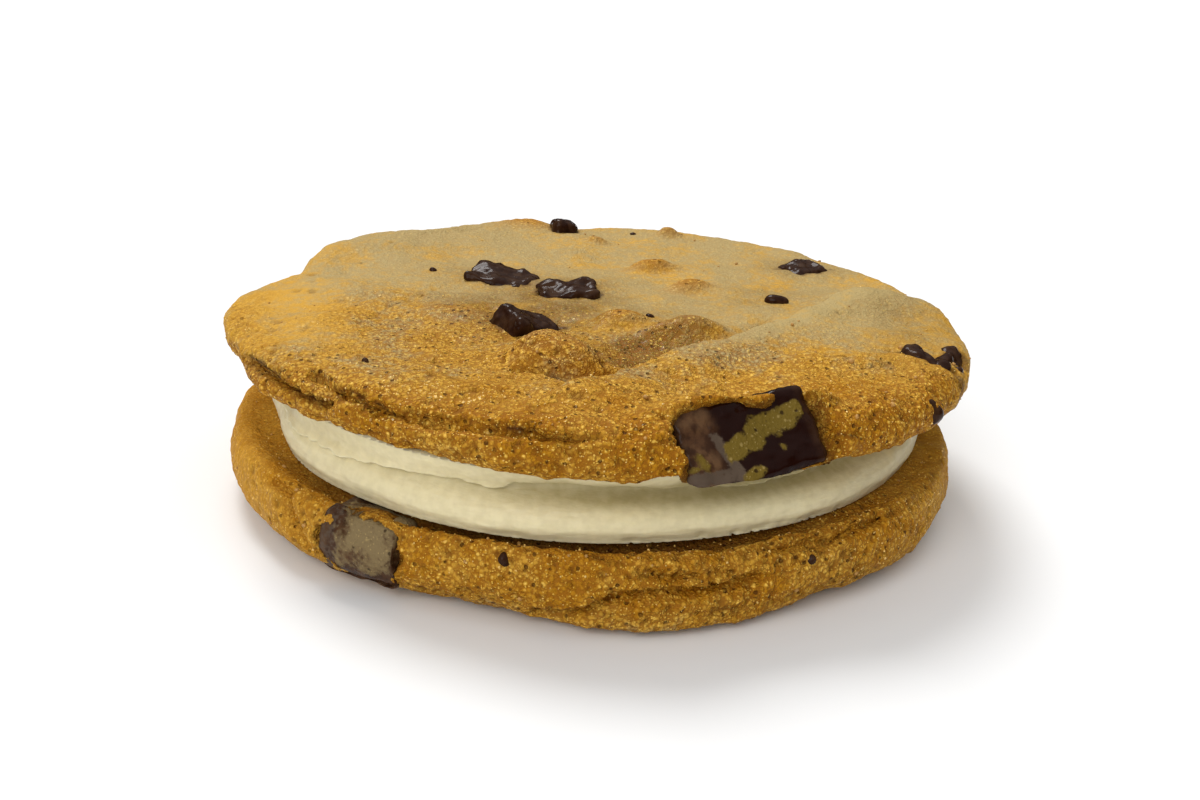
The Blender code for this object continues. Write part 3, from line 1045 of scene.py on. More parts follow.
@dataclass
class Cookie(TurnedBody):
    """What both cookies share: an even mesh, a baked surface and the masks that the finish reads."""

    voxel: float = 0.36
    lumps: float = 0.34
    lump_width: float = 4.2
    crumb: float = 0.19
    crumb_width: float = 1.5
    wrinkle: float = 0.16
    pit_least: float = 0.28
    pit_more: float = 0.42
    pit_depth: float = 0.42
    cracks: tuple[Groove, ...] = ()
    chunks: tuple[ChunkPlan, ...] = ()

    def carve(self, obj: bpy.types.Object) -> None:
        """Cuts the cracks and makes room for the chunks.

        Args:
            obj: the cookie.
        """
        points, normals = read_points(obj), read_normals(obj)
        cut = sum(crack.depth * crack.at(points) for crack in self.cracks)
        points = points - normals * cut[:, None]
        for chunk in self.chunks:
            points = chunk.embed(points)
        write_points(obj, points)

    def bake(self, obj: bpy.types.Object, grit: Array, stretch: Array) -> None:
        """Gives the dough its lumps and crumb, on a mesh of even faces.

        Args:
            obj: the cookie.
            grit: how coarse the surface is at each point, from 0 to 1.
            stretch: how much the crumb is drawn out along the rim, from 0 to 1.
        """
        points, normals = read_points(obj), read_normals(obj)
        radius, angle = polar(points)
        relief = self.lumps * noise_at(points, self.lump_width, 1.0, 2) * (0.45 + 0.55 * grit)
        crumb = np.abs(noise_at(points, self.crumb_width, 2.0, 2)) - 0.25
        relief += self.crumb * (0.35 + 0.65 * grit) * crumb * 1.6
        along = np.stack((angle * 0.84 / 5.0, points[:, 2] / 0.62, radius / 5.0), axis=1)
        relief += self.wrinkle * stretch * noise_at(along, 1.0, 4.0, 2)
        write_points(obj, points + normals * relief[:, None])

    def stipple(self, obj: bpy.types.Object, count: int, seed: int, wanted: Array) -> Array:
        """Presses small uneven pits into the surface.

        Args:
            obj: the cookie.
            count: how many pits.
            seed: which random places.
            wanted: for each point, how likely a pit is there, from 0 to 1.

        Returns:
            For each point, how deep it lies in a pit, from 0 to 1.
        """
        points, normals = read_points(obj), read_normals(obj)
        draw = np.random.default_rng(seed)
        picks = draw.choice(len(points), size=count, replace=False, p=wanted / wanted.sum())
        depth = np.zeros(len(points))
        for pick in picks:
            size = self.pit_least + self.pit_more * draw.random() ** 2
            near = np.abs(points - points[pick]).max(axis=1) < 2.5 * size
            distance = np.linalg.norm(points[near] - points[pick], axis=1)
            depth[near] = np.maximum(depth[near], fall(distance, size, 3.0) * (0.6 + 0.4 * draw.random()))
        write_points(obj, points - normals * (self.pit_depth * depth)[:, None])
        return depth

    def crack_shade(self, points: Array) -> Array:
        """How strongly the cracks are darkened as painted shade at each point, from 0 to 1."""
        return np.maximum.reduce([crack.dark * crack.at(points) ** 3 for crack in self.cracks])


@dataclass
class UpperCookie(Cookie):
    """The upper cookie, domed side up, with a fold across its front and cracks under its left rim.

    lump_height and ripple are the heights of the dome's broad and fine swells. The masks of the finish are
    sums of shares that darken, mostly ending in _brown, and of shares that lighten: the paler low rim, swells
    and fold crest are painted light, and the darker dents painted shade.
    """

    radius: float = 48.0
    flat: float = 17.3
    top: float = 22.6
    edge_inset: float = 2.6
    shoulder_inset: float = 4.2
    widest_rise: float = 2.8
    layer_inset: float = 2.6
    cap_radius: float = 40.0
    layer: Swell = Swell(238, 17, 1.0, 4.0)
    lump_size: float = 9.0
    lump_height: float = 0.7
    ripple: float = 0.34
    smooth_lip: Swell = Swell(196, 24, 1.0, 4.0)
    wrinkled: Swell = Swell(266, 26, 1.0, 4.0)
    broken_rim: Swell = Swell(234, 11, 1.0, 4.0)
    baked_front: Swell = Swell(285, 50, 1.0, 4.0)
    orange_lip: Swell = Swell(213, 11, 1.0, 4.0)
    pits: int = 420
    pit_seed: int = 11
    base_brown: float = 0.13
    front_brown: float = 0.25
    rim_brown: float = 0.12
    # painted light: the low rim is paler for the light bounced up from the floor
    low_bounce_light: float = 0.14
    outer_brown: float = 0.42
    patchy_brown: float = 0.10
    # painted light and shade from the relief: swells paler, dents darker
    relief_light_and_shade: float = 0.09
    # painted highlight along the fold's crest
    crest_highlight_share: float = 0.07
    chunks: tuple[ChunkPlan, ...] = UPPER_CHUNKS
    swells: tuple[Swell, ...] = (
        Swell(181, 11, 1.4), Swell(163, 6, -1.9), Swell(145, 8, 1.3), Swell(203, 9, -1.0),
        Swell(240, 22, -1.5), Swell(292, 11, -0.5), Swell(41, 6, -0.8), Swell(335, 30, 0.5),
    )
    mounds: tuple[Patch, ...] = (
        Patch(-4.2, -24.6, 5.6, 3.8, -27, 3.5, 4.0), Patch(-12, -36, 20, 6, -22, 1.2),
        Patch(30.6, -28.7, 8, 6, 40, 0.5), Patch(36.6, 6.3, 7, 6, 20, 0.8),
        Patch(8.0, -16.6, 12, 3.2, 42, -0.7, 3.0), Patch(-12, 42.3, 4, 4, 0, 0.9),
        Patch(-45.5, -0.7, 8, 13, 0, -1.0), Patch(-36.5, 27.3, 8, 9, -30, 1.0),
        Patch(-23.5, 40.3, 26, 13, 28, 1.2), Patch(26.6, 40.3, 26, 13, -32, 1.0),
        Patch(-24, 1.5, 8, 2.2, 8, 0.9), Patch(11.1, 40.8, 1.7, 1.3, 0, 1.5, 3.0),
        Patch(-0.4, 35.3, 1.8, 1.2, 0, 1.1, 3.0), Patch(7.8, 20.9, 3.2, 1.6, 8, 1.5, 3.0),
        Patch(13.2, 11.1, 3.2, 1.9, 30, 1.5, 3.0), Patch(3.6, -6.9, 3.4, 2.1, 10, 1.3, 3.0),
        Patch(11.5, -8.6, 5.6, 2.2, 24, 1.6, 3.0), Patch(-19, -7, 7, 2.8, -20, 0.9, 3.0),
        Patch(-31, -14, 9, 4, -30, 0.5), Patch(0, 24, 7, 5, 0, -0.7), Patch(18, 26, 6, 4, -20, -0.5),
        Patch(20.6, 0.3, 4, 2, 35, 0.5), Patch(18, 6, 2.0, 1.4, 0, 0.5),
    )
    ridges: tuple[Ridge, ...] = (
        Ridge(((-1, -35), (3.0, -31), (6.2, -26.6), (13.2, -19.8), (21.4, -10.4), (27.2, -3.4), (32.6, 3.6),
               (38.0, 6.6)), 1.7, 1.3, 6.5),
        Ridge(((25, -20.6), (31.3, -19.4), (36.2, -16.6), (39.6, -18.6)), 0.9, 0.8, 4.5),
    )
    cracks: tuple[Groove, ...] = (
        Groove(((-40.4, -21.6, 20.9), (-38.4, -24.8, 21.4), (-36.3, -27.7, 21.5), (-34.4, -29.9, 21.3),
                (-32.2, -31.6, 21.0), (-30.3, -33.3, 20.7), (-28.1, -34.8, 20.8)), 2.6, 0.35, 1.5),
        Groove(((-30.2, -31.7, 23.0), (-28.2, -34.1, 22.7), (-27.2, -35.6, 22.3), (-24.6, -37.1, 22.4),
                (-20.6, -40.0, 22.1), (-13.9, -42.5, 22.4), (-6.7, -44.6, 22.5), (-1.0, -45.4, 22.5)),
               1.5, 0.34, 1.3),
        Groove(((-3.4, -45.8, 22.2), (1.4, -46.2, 22.1), (6.4, -45.6, 22.2)), 0.5, 0.3, 0.4, 0.5),
        Groove(((25.4, -39.4, 21.3), (27.2, -39.3, 21.1), (29.3, -38.1, 21.0)), 0.9, 0.35, 0.45),
        Groove(((28.5, -20.6, 23.7), (31.3, -19.4, 23.5), (36.2, -16.0, 23.2), (39.6, -17.6, 22.8)),
               0.9, 0.6, 0.45, 0.8),
        Groove(((-8.5, -28.0, 0), (-5.0, -29.2, 0), (-1.7, -30.0, 0), (1.1, -28.8, 0), (2.8, -27.0, 0)),
               0.9, 0.7, 0.5, 0.9, 0.5, True),
        Groove(((4.0, -23.6, 0), (10.6, -17.6, 0), (17.6, -9.6, 0), (22.6, -3.6, 0)),
               0.6, 1.6, 0.7, 0.35, 0.6, True),
        Groove(((30.6, -1.0, 23.6), (32.3, -2.2, 23.8)), 0.6, 0.3, 0.3, 0.9, 0.1),
        Groove(((-33.9, -2.1, 22.5), (-31.7, -2.6, 22.6)), 0.6, 0.3, 0.3, 0.9, 0.1),
        Groove(((36.2, 17.6, 22.9), (36.6, 21.0, 22.9)), 0.5, 0.3, 0.3, 0.5, 0.1),
        Groove(((-31.5, -32.0, 20.2), (-30.0, -33.0, 18.6)), 0.7, 0.4, 0.4, 0.7),
        Groove(((-26.8, -35.6, 21.5), (-27.2, -35.4, 19.4)), 1.0, 0.45, 0.45, 0.8),
    )
    # moist patches; the one at (6.6, -16.2) paints the shade of the valley behind the fold
    moist_and_shade: tuple[Patch, ...] = (
        Patch(-6, 2, 13, 8, 50, 0.75, 3.0), Patch(-2, -6, 13, 5, 20, 0.55),
        Patch(6.6, -16.2, 11, 4.8, 42, 1.15, 4.0), Patch(30, 24, 6, 5, 0, 0.45),
        Patch(-18, -1, 8, 4, 0, 0.35), Patch(24, 8, 8, 6, 20, 0.3), Patch(-14, 12, 8, 6, -16, 0.5),
        Patch(-9.4, -11, 6, 5, 30, 0.7), Patch(41, -8, 6, 16, -10, 0.4, 3.0),
    )
    stains: tuple[Patch, ...] = (
        Patch(-3.6, -25.4, 6.0, 3.4, -24, 0.5, 3.0), Patch(11.1, 40.8, 1.8, 1.4, 0, 0.7),
        Patch(-0.4, 35.3, 1.6, 1.2, 0, 0.6), Patch(7.8, 20.9, 3.4, 1.9, 8, 0.9),
        Patch(13.2, 11.1, 3.2, 1.9, 30, 0.9), Patch(3.6, -6.5, 2.6, 1.5, 10, 0.85),
        Patch(11.0, -9.0, 4.6, 1.8, 24, 0.35), Patch(-12, 42, 4.5, 2.2, 0, 0.85),
        Patch(-18, -6, 5, 2.0, -20, 0.5),
    )

    def height(self, points: Array) -> Array:
        """The level of the domed side over each place.

        Args:
            points: places in millimetres, whose own levels aren't read.

        Returns:
            Levels in millimetres.
        """
        own = points - AXIS
        spots = np.stack((own[:, 0], own[:, 1], np.zeros(len(own))), axis=1)
        lump = self.lump_height * noise_at(spots, self.lump_size, 0.0)
        lump += self.ripple * noise_at(spots * (0.6, 1.3, 1.0), 4.4, 12.0, 2)
        return self.top + sum_of(self.mounds, points) + sum_of(self.ridges, points) + lump

    def surface(self, angle: Array, face: Array, share: Array) -> Array:
        """The upper cookie's form.

        Args:
            angle: degrees round the axis.
            face: the Face values.
            share: from 0 to 1 along the face, from the bottom up.

        Returns:
            Places in millimetres, one a row.
        """
        widest = self.radius + sum_of(self.swells, angle)
        edge = widest - self.edge_inset - self.layer_inset * self.layer.at(angle)
        shoulder = widest - self.shoulder_inset
        rim_top = self.height(ringed(angle, shoulder, share))
        turn = math.pi * (share - 0.5)
        middle = self.flat + self.widest_rise
        foot = np.where(turn < 0, edge, shoulder)
        rim_radius = foot + (widest - foot) * np.cos(turn)
        rim_level = middle + np.where(turn < 0, middle - self.flat, rim_top - middle) * np.sin(turn)
        dome_radius = shoulder * (1 - share)
        dome_level = self.height(ringed(angle, dome_radius, share))
        radius = by_face(face, edge * share, rim_radius, dome_radius)
        return ringed(angle, radius, by_face(face, self.flat, rim_level, dome_level))

    def build(self, finish: DoughFinish) -> bpy.types.Object:
        """Makes the cookie.

        Args:
            finish: its dough.

        Returns:
            The piece.
        """
        obj = self.turn()
        even_out(obj, self.voxel)
        points = read_points(obj)
        cap_flat(obj, (points[:, 2] < self.flat + 0.3) & (polar(points)[0] < self.cap_radius))
        self.finish_surface(obj)
        dress(obj, finish.build(), ("upper_cookie",))
        return obj

    def finish_surface(self, obj: bpy.types.Object) -> None:
        """Bakes the surface and stores the masks of its finish."""
        self.carve(obj)
        points = read_points(obj)
        radius, angle = polar(points)
        x, y, z = points.T
        front = rise(4.0, -22.0, y + 0.25 * x)
        rim = rise(41.0, 46.5, radius)
        low = rise(22.6, 18.2, z)
        smooth_lip = self.smooth_lip.at(angle) * rise(30.0, 40.0, radius) * rise(19.4, 20.6, z)
        grit = np.clip(0.22 + 0.62 * front + 0.25 * rim * front - 0.55 * smooth_lip, 0.0, 1.0)
        sides = self.wrinkled.at(angle) * rise(20.6, 21.8, z) * rise(24.2, 23.0, z)
        broken = self.broken_rim.at(angle) * rise(21.9, 21.3, z)
        self.bake(obj, np.clip(grit + broken, 0.0, 1.4), sides)
        points, normals = read_points(obj), read_normals(obj)
        rough = broken * 0.55 * noise_at(points, 2.2, 9.0, 3)
        write_points(obj, points + normals * rough[:, None])
        wanted = 0.012 + front * (0.4 + 0.6 * rim) * rise(17.8, 18.6, z)
        pits = self.stipple(obj, self.pits, self.pit_seed, wanted)
        points = read_points(obj)
        crack_shade = self.crack_shade(points)
        # painted shade in the gap round each chunk's window
        edge = np.zeros(len(points))
        for chunk in self.chunks:
            border = chunk.border(points)
            ring = fall(np.minimum(border - 0.2, 0.0), 0.6) * rise(0.9, 0.0, border)
            edge = np.maximum(edge, ring * chunk.facing(points))
        outer = rise(28.0, 42.0, radius) * self.baked_front.at(angle)
        # the low rim is painted paler for the light bounced up from the floor
        browning = self.base_brown + self.front_brown * front + self.rim_brown * rim - self.low_bounce_light * low
        browning = browning + self.outer_brown * outer
        # painted light and shade: raised mounds and folds paler, sunk dents darker
        raised = np.clip(sum_of(self.mounds, points) + sum_of(self.ridges, points), -2.0, 2.0)
        patchy = self.patchy_brown * noise_at(points, 7.0, 6.0, 2)
        browning += patchy - self.relief_light_and_shade * raised * rise(21.0, 22.0, z)
        # a painted highlight along the fold's crest, which is also smoother
        crest_highlight = rise(0.75, 0.97, self.ridges[0].at(points) / self.ridges[0].height) * rise(2.0, 14.0, x)
        browning -= self.crest_highlight_share * crest_highlight
        lip = self.orange_lip.at(angle) * rise(21.2, 20.0, z)
        on_top = rise(20.0, 21.5, z)
        # moist dough, and painted shade in the valley behind the fold
        moist_and_shade = sum_of(self.moist_and_shade, points) * on_top * (0.75 + 0.5 * noise_at(points, 3.0, 7.0, 2))
        lumps = np.clip(sum_of(self.stains, points), 0.0, 1.0) * on_top
        grit = np.clip(grit + 0.5 * lumps + 0.3 * np.clip(moist_and_shade, 0.0, 1.0) - 0.3 * crest_highlight, 0.0, 1.0)
        stain = np.maximum(lumps, 0.55 * lip)
        paint(obj, "crust", browning, moist_and_shade, stain)
        # painted shade in the cracks, round the chunks and in the pits
        paint(obj, "state", np.maximum(np.maximum(0.85 * crack_shade, 0.8 * edge), 0.45 * pits),
              np.clip(moist_and_shade * 1.2, 0.0, 1.0), grit)


@dataclass
class LowerCookie(Cookie):
    """The lower cookie, domed side down, with a lobe tucked under its front."""

    radius: float = 48.0
    top: float = 9.5
    widest_level: float = 5.2
    edge_inset: float = 1.7
    foot_inset: float = 13.0
    fullness: float = 0.48
    edge_follow: float = 0.4
    fold: Swell = Swell(282, 17, 1.0, 4.0)
    fold_reach: float = 2.6
    lobe_depth: float = 1.3
    channel_depth: float = 1.3
    foot_cap: float = 32.5
    top_cap: float = 36.0
    channel: Swell = Swell(262, 42, 1.0, 4.0)
    bumpy_edge: Swell = Swell(325, 30, 1.0, 4.0)
    bump_height: float = 0.7
    baked_front: Swell = Swell(278, 52, 1.0, 4.0)
    orange_left: Swell = Swell(200, 34, 1.0, 4.0)
    # painted shade on the right of the flat top, which is painted olive
    shaded_right: Swell = Swell(330, 30, 1.0, 4.0)
    # painted shade in the channel between the cream and the rim
    gap_shade: Swell = Swell(262, 50, 1.0, 4.0)
    pits: int = 330
    pit_seed: int = 23
    base_brown: float = 0.52
    front_brown: float = 0.22
    top_brown: float = 0.12
    foot_pale: float = 0.30
    patchy_brown: float = 0.10
    left_brown: float = 0.05
    lowest: float = 0.02
    chunks: tuple[ChunkPlan, ...] = LOWER_CHUNKS
    swells: tuple[Swell, ...] = (
        Swell(160, 16, -1.3), Swell(230, 12, 0.9), Swell(252, 10, -0.9), Swell(206, 12, 0.5),
        Swell(278, 13, 0.8), Swell(318, 9, 0.6), Swell(4, 20, -1.2),
    )
    cracks: tuple[Groove, ...] = (
        Groove(((-4.5, -46.7, 2.5), (-2.0, -46.9, 2.9), (1.2, -47.8, 3.9), (3.4, -48.2, 4.9),
                (6.3, -48.1, 5.6),
                (9.9, -47.5, 5.9), (12.5, -46.8, 5.8), (14.9, -46.0, 5.9), (16.8, -45.2, 6.0),
                (19.0, -44.1, 6.6)),
               2.2, 0.5, 1.1, 0.9),
        Groove(((7.7, -47.4, 8.1), (8.5, -47.4, 7.6), (10.3, -47.0, 7.5), (12.4, -46.5, 7.5)),
               1.6, 0.45, 0.5, 1.0, 0.1),
        Groove(((-36.2, -30.1, 8.8), (-34.6, -31.9, 8.7), (-33.0, -33.4, 9.3)), 1.3, 0.6, 0.5, 0.9),
        Groove(((-34.0, -33.0, 8.4), (-33.4, -34.6, 6.8), (-32.3, -35.9, 5.4), (-31.0, -37.0, 4.0)),
               2.4, 1.0, 1.0, 1.0),
        Groove(((16.8, -42.9, 9.5), (22.3, -41.4, 8.9), (27.0, -38.8, 8.5), (33.3, -33.5, 9.0)),
               1.5, 0.8, 0.6, 0.85),
        Groove(((24.2, -42.0, 2.6), (24.6, -41.6, 4.2)), 0.9, 0.35, 0.35, 0.8, 0.1),
        Groove(((-21.9, -41.8, 8.8), (-21.2, -43.0, 7.4), (-21.0, -43.1, 5.6)), 0.8, 0.4, 0.4, 1.0),
        Groove(((14.6, -45.6, 7.9), (15.8, -45.3, 7.4)), 0.8, 0.4, 0.4, 0.9, 0.1),
        Groove(((15.0, -45.9, 5.5), (15.3, -45.8, 5.1)), 0.8, 0.4, 0.4, 0.9, 0.1),
    )

    def surface(self, angle: Array, face: Array, share: Array) -> Array:
        """The lower cookie's form.

        Args:
            angle: degrees round the axis.
            face: the Face values.
            share: from 0 to 1 along the face, from the bottom up.

        Returns:
            Places in millimetres, one a row.
        """
        edge = self.radius - self.edge_inset + self.edge_follow * sum_of(self.swells, angle)
        foot = self.radius - self.foot_inset + self.fold.at(angle) * self.fold_reach
        turn = math.pi * (share - 0.5)
        rim_radius = self.rim_radius(angle, turn)
        below, above = self.widest_level, self.top - self.widest_level
        rim_level = self.widest_level + np.where(turn < 0, below, above) * np.sin(turn)
        radius = by_face(face, foot * share, rim_radius, edge * (1 - share))
        level = by_face(face, 0.0, rim_level, self.top)
        points = ringed(angle, radius, level)
        away = radius - (edge - 2.6)
        channel = self.channel_depth * fall(away, 1.5, 3.0) * (0.35 + 0.65 * self.channel.at(angle))
        bumpy = self.bumpy_edge.at(angle) * rise(36.0, 39.0, radius) * rise(8.8, 9.4, level)
        points[:, 2] -= channel * rise(9.0, 9.4, level)
        points[:, 2] += bumpy * self.bump_height * noise_at(points, 3.2, 5.0, 2)
        return points

    def rim_radius(self, angle: Array, turn: Array) -> Array:
        """How far out the rim lies.

        Args:
            angle: degrees round the axis.
            turn: the turn over the rim, from minus a quarter at the foot to plus a quarter on top.

        Returns:
            Radii in millimetres.
        """
        swell = sum_of(self.swells, angle)
        widest = self.radius + swell
        edge = self.radius - self.edge_inset + self.edge_follow * swell
        folded = self.fold.at(angle)
        foot = self.radius - self.foot_inset + folded * self.fold_reach
        under = foot + (widest - foot) * np.maximum(0.0, np.cos(turn)) ** self.fullness
        over = edge + (widest - edge) * np.cos(turn)
        share = turn / math.pi + 0.5
        return np.where(turn < 0, under, over) + folded * self.lobe_depth * fall(share - 0.2, 0.1)

    def radius_at(self, angle: Array, level: Array) -> Array:
        """How far out the rim lies at each angle and level."""
        off = level - self.widest_level
        span = np.where(off < 0, self.widest_level, self.top - self.widest_level)
        return self.rim_radius(angle, np.arcsin(np.clip(off / span, -1.0, 1.0)))

    def build(self, finish: DoughFinish) -> bpy.types.Object:
        """Makes the cookie.

        Args:
            finish: its dough.

        Returns:
            The piece.
        """
        obj = self.turn()
        even_out(obj, self.voxel)
        points = read_points(obj)
        cap_flat(obj, (points[:, 2] < 0.3) & (polar(points)[0] < self.foot_cap))
        points = read_points(obj)
        cap_flat(obj, (points[:, 2] > self.top - 0.4) & (polar(points)[0] < self.top_cap))
        self.finish_surface(obj)
        dress(obj, finish.build(), ("lower_cookie",))
        return obj

    def finish_surface(self, obj: bpy.types.Object) -> None:
        """Bakes the surface and stores the masks of its finish."""
        self.carve(obj)
        points = read_points(obj)
        radius, angle = polar(points)
        z = points[:, 2]
        front = self.baked_front.at(angle)
        grit = np.clip(0.42 + 0.5 * front, 0.0, 1.0)
        self.bake(obj, grit * rise(0.1, 1.2, z), 0.3 * front * rise(1.0, 3.0, z))
        wanted = 0.04 + front * rise(44.0, 46.0, radius) * rise(1.5, 3.0, z)
        pits = self.stipple(obj, self.pits, self.pit_seed, wanted)
        points = read_points(obj)
        points[:, 2] = np.maximum(points[:, 2], self.lowest)
        write_points(obj, points)
        crack_shade = self.crack_shade(points)
        # painted shade in the gap round each chunk's window
        edge = np.zeros(len(points))
        for chunk in self.chunks:
            edge = np.maximum(edge, rise(0.6, 0.0, chunk.border(points)) * chunk.facing(points))
        left = self.orange_left.at(angle)
        browning = self.base_brown + self.front_brown * front + self.top_brown * rise(7.0, 9.4, z)
        browning = browning - self.foot_pale * rise(4.6, 1.4, z)
        browning += self.patchy_brown * noise_at(points, 6.0, 6.5, 2) + self.left_brown * left
        # painted shade: the shaded right of the flat top is painted olive
        shade = self.shaded_right.at(angle) * rise(8.4, 9.2, z)
        moist_and_shade = 0.45 * shade + 0.12 * left * (0.5 + 0.5 * noise_at(points, 3.5, 7.5, 2))
        stain = 0.35 * left + 0.25 * front * rise(8.0, 9.3, z)
        # painted shade in the dark gap between the cream and the rim
        gap = 0.8 * fall(radius - 43.2, 1.9, 4.0) * rise(7.2, 8.2, z) * self.gap_shade.at(angle)
        paint(obj, "crust", browning, moist_and_shade, stain)
        # painted shade in cracks, round chunks, in pits and in the gap under the cream
        crevice_shade = np.maximum.reduce([0.85 * crack_shade, 0.9 * edge, 0.55 * pits, gap])
        paint(obj, "state", crevice_shade, 0.12 * front, grit)


@dataclass
class Filling(TurnedBody):
    """The cream: a full lower band, a hollow above it and a thin smeared ledge under the upper cookie."""

    low: float = 9.55
    high: float = 17.35
    radius: float = 44.2
    foot_inset: float = 0.5
    hollow: float = 2.4
    hollow_level: float = 13.9
    hollow_half: float = 1.6
    ledge: float = 1.25
    narrowing: float = 1.2
    deep_front: Swell = Swell(290, 34, 1.0, 4.0)
    bitten_foot: Swell = Swell(292, 26, 1.0, 4.0)
    shaded_front: Swell = Swell(288, 32, 1.0, 4.0)
    swells: tuple[Swell, ...] = (
        Swell(200, 14, -1.7), Swell(262, 22, 0.9), Swell(335, 24, -1.0), Swell(95, 30, -0.7),
    )
    ledge_path: tuple[tuple[float, float], ...] = (
        (0, 14.6), (140, 14.6), (200, 13.6), (216, 13.3), (227, 13.5), (234, 13.8), (241, 14.2), (250, 14.6),
        (258, 14.4), (259.5, 15.4), (267, 15.6), (278, 15.2), (287, 14.6), (297, 14.3), (305, 14.4),
        (320, 15.0), (360, 14.6),
    )

    def surface(self, angle: Array, face: Array, share: Array) -> Array:
        """The cream's form.

        Args:
            angle: degrees round the axis.
            face: the Face values.
            share: from 0 to 1 along the face, from the bottom up.

        Returns:
            Places in millimetres, one a row.
        """
        outer = self.radius + sum_of(self.swells, angle)
        level = self.low + (self.high - self.low) * share
        around = ringed(angle, outer, level)
        ragged = 0.28 * noise_at(around, 1.8, 1.0, 3) + 0.25 * noise_at(around * (1, 1, 0.1), 5.0, 2.0)
        angles, levels = zip(*self.ledge_path)
        edge_level = np.interp(angle, angles, levels) + ragged
        radius = outer - self.foot_inset * rise(self.low + 1.6, self.low, level)
        depth = self.hollow * (0.75 + 0.6 * self.deep_front.at(angle))
        radius -= depth * fall(level - self.hollow_level - 0.7, self.hollow_half)
        radius -= self.narrowing * rise(self.hollow_level, self.high, level)
        fullness = 0.7 + 0.5 * noise_at(around, 6.0, 9.0)
        radius += self.ledge * rise(-0.10, 0.16, level - edge_level) * fullness
        radius += 0.22 * noise_at(around * (0.3, 0.3, 1.0), 2.0, 3.0, 3)
        foot = fall(level - self.low, 0.9) * self.bitten_foot.at(angle)
        radius -= foot * 0.9 * np.clip(noise_at(around * (1, 1, 0.3), 2.6, 5.0, 3), 0.0, 1.0)
        top_radius = outer - self.narrowing + self.ledge
        radius = by_face(face, (outer - self.foot_inset) * share, radius, top_radius * (1 - share))
        return ringed(angle, radius, by_face(face, self.low, level, self.high))

    def build(self, finish: CreamFinish) -> bpy.types.Object:
        """Makes the filling.

        Args:
            finish: its cream.

        Returns:
            The piece.
        """
        obj = self.turn()
        points = read_points(obj)
        radius, angle = polar(points)
        outer = self.radius + sum_of(self.swells, angle)
        # painted shade in the hollow under the upper cookie, strongest at the front
        shaded = 0.55 + 0.45 * self.shaded_front.at(angle)
        deep = shaded * rise(0.5, 2.4, outer - radius) * rise(11.6, 13.6, points[:, 2])
        smeared = rise(14.2, 15.2, points[:, 2])
        paint(obj, "spread", deep, smeared, np.zeros(len(points)))
        dress(obj, finish.build(), ("cream_filling",))
        return obj


@dataclass
class Chunk:
    """One piece of chocolate, with softened edges and a melted face."""

    plan: ChunkPlan
    film: float = 0.0
    frost: float = 0.1
    smear: float = 0.4
    rounding: float = 0.9
    cuts: int = 16
    taper: float = 0.12
    lowest: float = 17.36
    settle: float = 0.0
    uneven: float = 0.32

    def build(self, material: bpy.types.Material) -> bpy.types.Object:
        """Makes the chunk.

        Args:
            material: its finish.

        Returns:
            The piece.
        """
        deselect()
        bpy.ops.mesh.primitive_cube_add(size=2 * MM)
        obj = bpy.context.object
        obj.name = obj.data.name = self.plan.name + "_chocolate"
        bpy.ops.object.mode_set(mode="EDIT")
        bpy.ops.mesh.select_all(action="SELECT")
        bpy.ops.mesh.subdivide(number_cuts=self.cuts)
        bpy.ops.object.mode_set(mode="OBJECT")
        cube = read_points(obj)
        half = np.array(self.plan.size) / 2
        core = np.clip(cube * half, -(half - self.rounding), half - self.rounding)
        away = cube * half - core
        reach = np.linalg.norm(away, axis=1, keepdims=True)
        depth = np.minimum(np.max(np.abs(away), axis=1, keepdims=True), self.rounding)
        own = core + away / np.maximum(reach, 1e-6) * depth
        own[:, 1] *= 1 - self.taper * own[:, 0] / (2 * half[0])
        own[:, 2] *= 1 - self.taper * own[:, 0] / (2 * half[0])
        matrix = np.array(self.plan.matrix())
        points = own @ matrix[:3, :3].T + matrix[:3, 3] - self.plan.outward() * self.settle
        write_points(obj, points)
        normals = read_normals(obj)
        uneven = self.uneven * (noise_at(points, 3.4, 1.5, 2) + 0.375 * noise_at(points, 1.1, 2.5, 2))
        points += normals * uneven[:, None]
        points[:, 2] = np.maximum(points[:, 2], self.lowest + 0.12 * noise_at(points, 1.5, 6.5))
        write_points(obj, points)
        self.paint_face(obj)
        dress(obj, material, () if self.plan.extra else (self.plan.name,))
        return obj

    def paint_face(self, obj: bpy.types.Object) -> None:
        """Stores where film, bloom and smears lie on the chunk."""
        patchy = 0.5 + 0.5 * noise_at(read_points(obj), 2.2, 3.5, 3)
        paint(obj, "melt", self.film * (0.6 + 0.5 * patchy), self.frost * patchy * 1.6,
              self.smear * np.ones_like(patchy))


